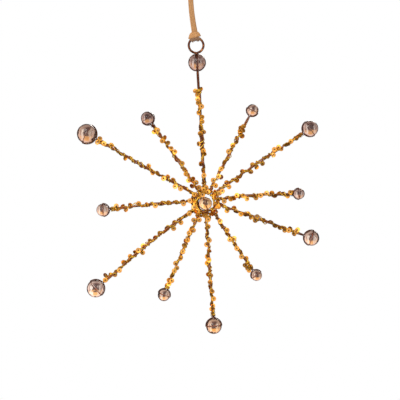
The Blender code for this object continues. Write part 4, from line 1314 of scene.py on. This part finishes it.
def make_hitch(sizes):
    """The bight drawn across the two legs, and the legs round the ring.

    From the top down its half width spreads as the share of the way to the 0.8, its half depth swells
    as a sine, and its upper and lower edges are rounded off. Its lower edge tips and shifts to the left.
    Upright creases, sines of x that fade downwards, and a fine ripple run over its front and back.
    """
    neck, across = joint("ribbon_flex")
    up = np.array([-across[2], 0.0, across[0]])
    share = np.linspace(0, 1, HITCH_ROWS)
    lip = np.sqrt(np.clip(1 - np.abs(2 * share - 1) ** np.where(share < 0.5, 4, 12), 0, 1))
    half_width = (HITCH_WIDTH + HITCH_SPREAD * share**0.8) * lip
    half_depth = (HITCH_DEPTH + HITCH_SWELL * np.sin(math.pi * (0.15 + 0.65 * share))) * lip
    x, y = rounded(half_width, half_depth, 0.62)
    fold = share[:, None]
    z = 0.14 * x * fold**2 - HITCH_TOP - HITCH_HEIGHT * fold
    x = x - HITCH_SKEW * fold
    crease = CREASE * np.sin(x / CREASE_WAVE + 1.3 * fold) * (1 - fold) ** 1.5
    crease += RIPPLE * np.sin(9 * fold + 500 * x)
    y = y + np.sign(y) * crease * (np.abs(y) > CREASE_FROM)
    bight = cloth_piece("hitch_bight", "hitch", neck, across, up, x, y, z, (z, x, y), ("ribbon_hitch",))
    return [bight, *make_legs(sizes, math.pi / 2 + math.atan2(across[2], across[0]))]


def make_legs(sizes, up_angle):
    """Each leg is a sleeve of cloth along the ring's top: an outer and an inner tube, joined at its ends.

    The outer tube hangs towards the ring's centre, so that the cloth is thin outside the ring.
    """
    ring_place, radius = joint("ring_slide")[0], ring_radius()
    share = np.linspace(0, 1, LEG_ROWS)
    outer = LEG_RADIUS + LEG_SWELL * np.sin(13 * share) + LEG_RIPPLE * np.sin(31 * share)
    outer[[0, -1]] -= LEG_LIP
    inner = np.full(LEG_ROWS, sizes.stem_wire / 2 + LEG_ROOM)
    turn = turn_steps(LEG_COLUMNS)[:, None]
    legs = []
    for name, ends in LEGS.items():
        angle = up_angle + np.radians(np.linspace(*ends, LEG_ROWS))
        line = ring_place + np.stack([radius * np.cos(angle), 0 * angle, radius * np.sin(angle)], 1)
        sagged = line + unit(ring_place - line) * (outer - inner - LEG_WALL)[:, None]
        path = np.concatenate([sagged, line[::-1]])
        ahead = unit(np.gradient(line, axis=0))
        ahead = np.concatenate([ahead, ahead[::-1]])
        side = unit(np.cross(FRONT_TO_BACK, ahead))
        thick = np.concatenate([outer, inner])[:, None, None]
        ring = np.cos(turn) * side[:, None] + np.sin(turn) * np.cross(ahead, side)[:, None]
        points = (path[:, None] + thick * ring).reshape(-1, 3)
        along = np.tile(turn[:, 0] * LEG_WEAVE, len(path))
        over = np.repeat((np.concatenate([share, share[::-1]]) - 0.5) * WOVEN_WIDTH, LEG_COLUMNS)
        shell = points, [grid_faces(len(path), LEG_COLUMNS, True)]
        # The legs wear the ribbon's painted shade.
        legs.append(new_piece(f"hitch_leg_{name}", shell, "ribbon_back", "hitch",
                              weave=np.stack([over, along, 0 * along], 1)))
    return legs


def make_knot(sizes):
    """The knot over the hook: a rounded heart, a wrap laid aslant over it, and two tails.

    The heart is an egg whose width and depth go as the cosine of its height's angle to the 0.8, and
    swell and sink by a three-fold wave that winds as it rises, and by a seven-fold one. The wrap's
    middle line is an ellipse, tilted sideways.
    """
    centre = np.array([0.0, 0.0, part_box("ribbon_knot")[0].z + KNOT_RISE])
    tilt = np.linspace(KNOT_POLE - math.pi / 2, math.pi / 2 - KNOT_POLE, KNOT_ROWS)
    slim = np.cos(tilt) ** 0.8
    x, y = rounded(KNOT_HALF[0] * slim, KNOT_HALF[1] * slim, 0.85)
    z = KNOT_HALF[2] * np.sin(tilt)[:, None] + 0 * x
    around = np.arctan2(y, x)
    swirl = 1 + KNOT_SWIRL * np.sin(3 * around + z / SWIRL_RISE) + KNOT_RIPPLE * np.sin(7 * around)
    heart = cloth_piece("knot_heart", "knot", centre, np.array([1.0, 0, 0]), np.array([0, 0, 1.0]),
                        x * swirl, y * swirl, z, (z, x + y, y), ("ribbon_knot",))
    turn = np.linspace(0, FULL_TURN, WRAP_POINTS)
    loop = np.stack([np.cos(turn), np.sin(turn), np.cos(turn) * math.sin(WRAP_SLANT)], 1) * WRAP_HALF
    across = np.tile([-math.sin(WRAP_SLANT), 0.0, math.cos(WRAP_SLANT)], (WRAP_POINTS, 1))
    shell, weave = strip(centre + loop, across, WRAP_WIDTH, sizes.ribbon_thickness, WRAP_CROWN)
    wrap = new_piece("knot_wrap", shell, "ribbon", "knot", weave=weave)
    return [heart, wrap, make_tail(sizes, centre, "left", -1), make_tail(sizes, centre, "right", 1)]


def make_tail(sizes, centre, name, side):
    """A tail that leaves the knot, spreads and curls over a little, cut aslant at its end."""
    share = np.linspace(0, 1, TAIL_POINTS)
    lean, reach = side * TAIL_LEAN, TAIL_LENGTH * share
    x = reach * math.sin(lean) + side * TAIL_BOW * np.sin(math.pi * share)
    y = side * TAIL_APART + TAIL_CURL * np.sin(2.4 * share) * share
    path = centre + np.stack([x, y, reach * math.cos(lean)], 1)
    across = np.tile([math.cos(lean), TAIL_TURN * side, -math.sin(lean)], (TAIL_POINTS, 1))
    width = sizes.ribbon_width * TAIL_NARROW
    (points, faces), weave = strip(path, across, width, sizes.ribbon_thickness, TAIL_CROWN)
    cut = np.clip(weave[:, 1] / weave[:, 1].max() - TAIL_CUT, 0, 1) / (1 - TAIL_CUT)
    shift = -TAIL_SLANT * cut * side * weave[:, 0]
    points = points + shift[:, None] * [math.sin(lean), 0, math.cos(lean)]
    return new_piece(f"knot_tail_{name}_cloth", (points, faces), "ribbon", "knot", weave=weave)


# Stage.


def make_world():
    """White to the camera. What the beads and the metal see is a studio: bright ahead, darker round it.

    What shines through glass is dark straight ahead and aside and bright in a ring between, with two
    bright panes and an amber patch low down. What mirrors in metal is bright in front and dark behind.
    """
    world = bpy.data.worlds.new("studio")
    bpy.context.scene.world = world
    world.use_nodes = True
    tree = world.node_tree
    towards = coordinates(tree, "Generated")
    x, y, z = parts(towards)
    ahead = noise(towards, 3.2, 1.0) * 0.10 + (abs(y) - 0.05)
    through = ramp(ahead, (0.0, (0.26, 0.18, 0.165)), (0.24, (0.16, 0.10, 0.09)),
                   (0.38, (0.09, 0.038, 0.030)), (0.57, (0.11, 0.048, 0.040)),
                   (0.66, (0.85, 0.65, 0.58)), (0.80, (0.93, 0.76, 0.68)), (0.87, (0.50, 0.34, 0.30)),
                   (0.93, (0.19, 0.11, 0.10)), (1.0, (0.11, 0.06, 0.055)))
    patch = ramp(ahead, (0.76, 0.0), (0.84, 0.9), (0.97, 0.9), (0.995, 0.0))
    through = blend(stretched(z, 0.05, 0.24) * patch, through, (1.0, 0.58, 0.24))
    pane = ramp(x + 0.5, (0.03, 0.0), (0.08, 0.55), (0.27, 0.55), (0.32, 0.0),
                (0.70, 0.0), (0.75, 0.85), (0.90, 0.85), (0.96, 0.0))
    tall = ramp(abs(z - 0.08), (0.34, 1.0), (0.46, 0.0))
    through = blend(pane * tall, through, (1.10, 1.02, 0.94))
    through = vector_maths("MULTIPLY", through, z * 0.7 + (x * 0.35 + 1.08))
    shiny = ramp(y * -0.5 + 0.5, (0.0, 0.06), (0.45, 0.07), (0.6, 0.20), (0.78, 0.36), (0.92, 0.82),
                 (1.0, 1.0))
    shiny = vector_maths("MULTIPLY", shiny, z * 0.30 + 0.98)
    rays = new_node(tree, "ShaderNodeLightPath", {}).outputs
    colour = blend(Signal(rays["Is Glossy Ray"]), (0.42, 0.41, 0.40), shiny)
    colour = blend(Signal(rays["Is Transmission Ray"]), colour, through)
    colour = blend(Signal(rays["Is Camera Ray"]), colour, (1.0, 1.0, 1.0))
    fill(tree.nodes["Background"], {"Color": colour})


def make_light(name, place, aim, size, power, colour):
    light = bpy.data.lights.new(name, "AREA")
    light.shape = "RECTANGLE"
    light.size, light.size_y = size
    light.energy = power
    light.color = colour
    lamp = new_object(name, light)
    lamp.location = place
    lamp.rotation_euler = (aim - lamp.location).to_track_quat("-Z", "Y").to_euler()
    lamp.visible_transmission = False


def make_stage():
    """The camera, the lights, the white surround and a pale floor below the star."""
    scene = bpy.context.scene
    scene.view_settings.view_transform = "Standard"
    lens = bpy.data.cameras.new("camera")
    lens.sensor_width = SENSOR
    lens.lens = SENSOR * VIEW.distance / VIEW.width
    lens.clip_start = 0.05
    scene.camera = new_object("camera", lens)
    scene.camera.location = (VIEW.across, -VIEW.distance, VIEW.height)
    scene.camera.rotation_euler = (math.pi / 2, 0, 0)
    make_world()
    aim = scene.camera.location * 1.0
    aim.y = 0
    for name, (place, size, power, colour) in LIGHTS.items():
        make_light(name, place, aim, size, power, colour)

    radii = [FLOOR_RADIUS, FLOOR_RADIUS, 0.5 * FLOOR_RADIUS, 0.01]
    heights = FLOOR_HEIGHT + np.array([-FLOOR_THICKNESS, 0.0, 0.0, 0.0])
    points = turned(np.array([0.0, 0.0, 1.0]), np.stack([radii, heights], 1), FLOOR_SIDES)
    points = points + (VIEW.across, 0, 0)
    points = np.concatenate([points.reshape(-1, 3), points[:1].mean(1), points[-1:].mean(1)])
    floor = new_object("floor", new_mesh("floor", (points, capped_faces(4, FLOOR_SIDES)), "floor"))
    floor.visible_diffuse = floor.visible_glossy = floor.visible_transmission = False


# Operators.


class STAR_OT_stage(bpy.types.Operator):
    """Make the finishes, the camera, the lights and the floor"""

    bl_idname = "star.stage"
    bl_label = "Stage"
    bl_options = {"REGISTER", "UNDO"}

    def execute(self, context):
        make_finishes(context.scene.star_colours)
        make_stage()
        return {"FINISHED"}


class STAR_OT_ribbon(bpy.types.Operator):
    """Make the ribbon's strands, its knot and its hitch round the ring"""

    bl_idname = "star.ribbon"
    bl_label = "Ribbon"
    bl_options = {"REGISTER", "UNDO"}

    def execute(self, context):
        sizes = context.scene.star_sizes
        make_strands(sizes, [*make_knot(sizes), *make_hitch(sizes)])
        return {"FINISHED"}


class STAR_OT_wires(bpy.types.Operator):
    """Make the hanging ring and the core wires of all rays"""

    bl_idname = "star.wires"
    bl_label = "Ring and Core Wires"
    bl_options = {"REGISTER", "UNDO"}

    def execute(self, context):
        sizes = context.scene.star_sizes
        make_hanging_ring(sizes)
        for ray in RAYS[1:]:
            make_core(ray, sizes)
        return {"FINISHED"}


class STAR_OT_garlands(bpy.types.Operator):
    """Make the gold wire and the sequins of all rays"""

    bl_idname = "star.garlands"
    bl_label = "Gold Wire and Sequins"
    bl_options = {"REGISTER", "UNDO"}

    def execute(self, context):
        sizes = context.scene.star_sizes
        for ray in RAYS:
            make_garland(ray, sizes)
        make_whippings(sizes)
        return {"FINISHED"}


class STAR_OT_beads(bpy.types.Operator):
    """Make the glass beads at the tips and at the centre"""

    bl_idname = "star.beads"
    bl_label = "Glass Beads"
    bl_options = {"REGISTER", "UNDO"}

    def execute(self, context):
        sizes = context.scene.star_sizes
        for ray in RAYS:
            make_tip_bead(ray, sizes)
        make_bead("centre_bead", *joint("centre_bead_spin"), sizes.bead_wire, "centre_bead", 0)
        return {"FINISHED"}


class STAR_OT_hub(bpy.types.Operator):
    """Make the hub ring, its lashing, the wire across and inside it, the woven binding and the sequins"""

    bl_idname = "star.hub"
    bl_label = "Hub"
    bl_options = {"REGISTER", "UNDO"}

    def execute(self, context):
        sizes = context.scene.star_sizes
        make_hub_ring()
        make_lashing(sizes)
        make_cross_wire(sizes)
        make_nest(sizes)
        make_binding(sizes)
        make_hub_sequins(sizes)
        return {"FINISHED"}


OPERATORS = (STAR_OT_stage, STAR_OT_ribbon, STAR_OT_wires, STAR_OT_garlands, STAR_OT_beads, STAR_OT_hub)


class STAR_PT_panel(bpy.types.Panel):
    """The star's operators, sizes and colours"""

    bl_label = "Beaded Star"
    bl_idname = "STAR_PT_panel"
    bl_space_type = "VIEW_3D"
    bl_region_type = "UI"
    bl_category = "Star"

    def draw(self, context):
        for operator in OPERATORS:
            self.layout.operator(operator.bl_idname)
        for group in (context.scene.star_sizes, context.scene.star_colours):
            for title in group.__annotations__:
                self.layout.prop(group, title)


CLASSES = (StarSizes, StarColours, *OPERATORS, STAR_PT_panel)


def register():
    for made in CLASSES:
        bpy.utils.register_class(made)
    bpy.types.Scene.star_sizes = bpy.props.PointerProperty(type=StarSizes)
    bpy.types.Scene.star_colours = bpy.props.PointerProperty(type=StarColours)


def unregister():
    del bpy.types.Scene.star_colours
    del bpy.types.Scene.star_sizes
    for made in reversed(CLASSES):
        bpy.utils.unregister_class(made)


def main():
    register()
    bpy.ops.star.stage()
    bpy.ops.star.ribbon()
    bpy.ops.star.wires()
    bpy.ops.star.garlands()
    bpy.ops.star.beads()
    bpy.ops.star.hub()


if __name__ == "__main__":
    main()
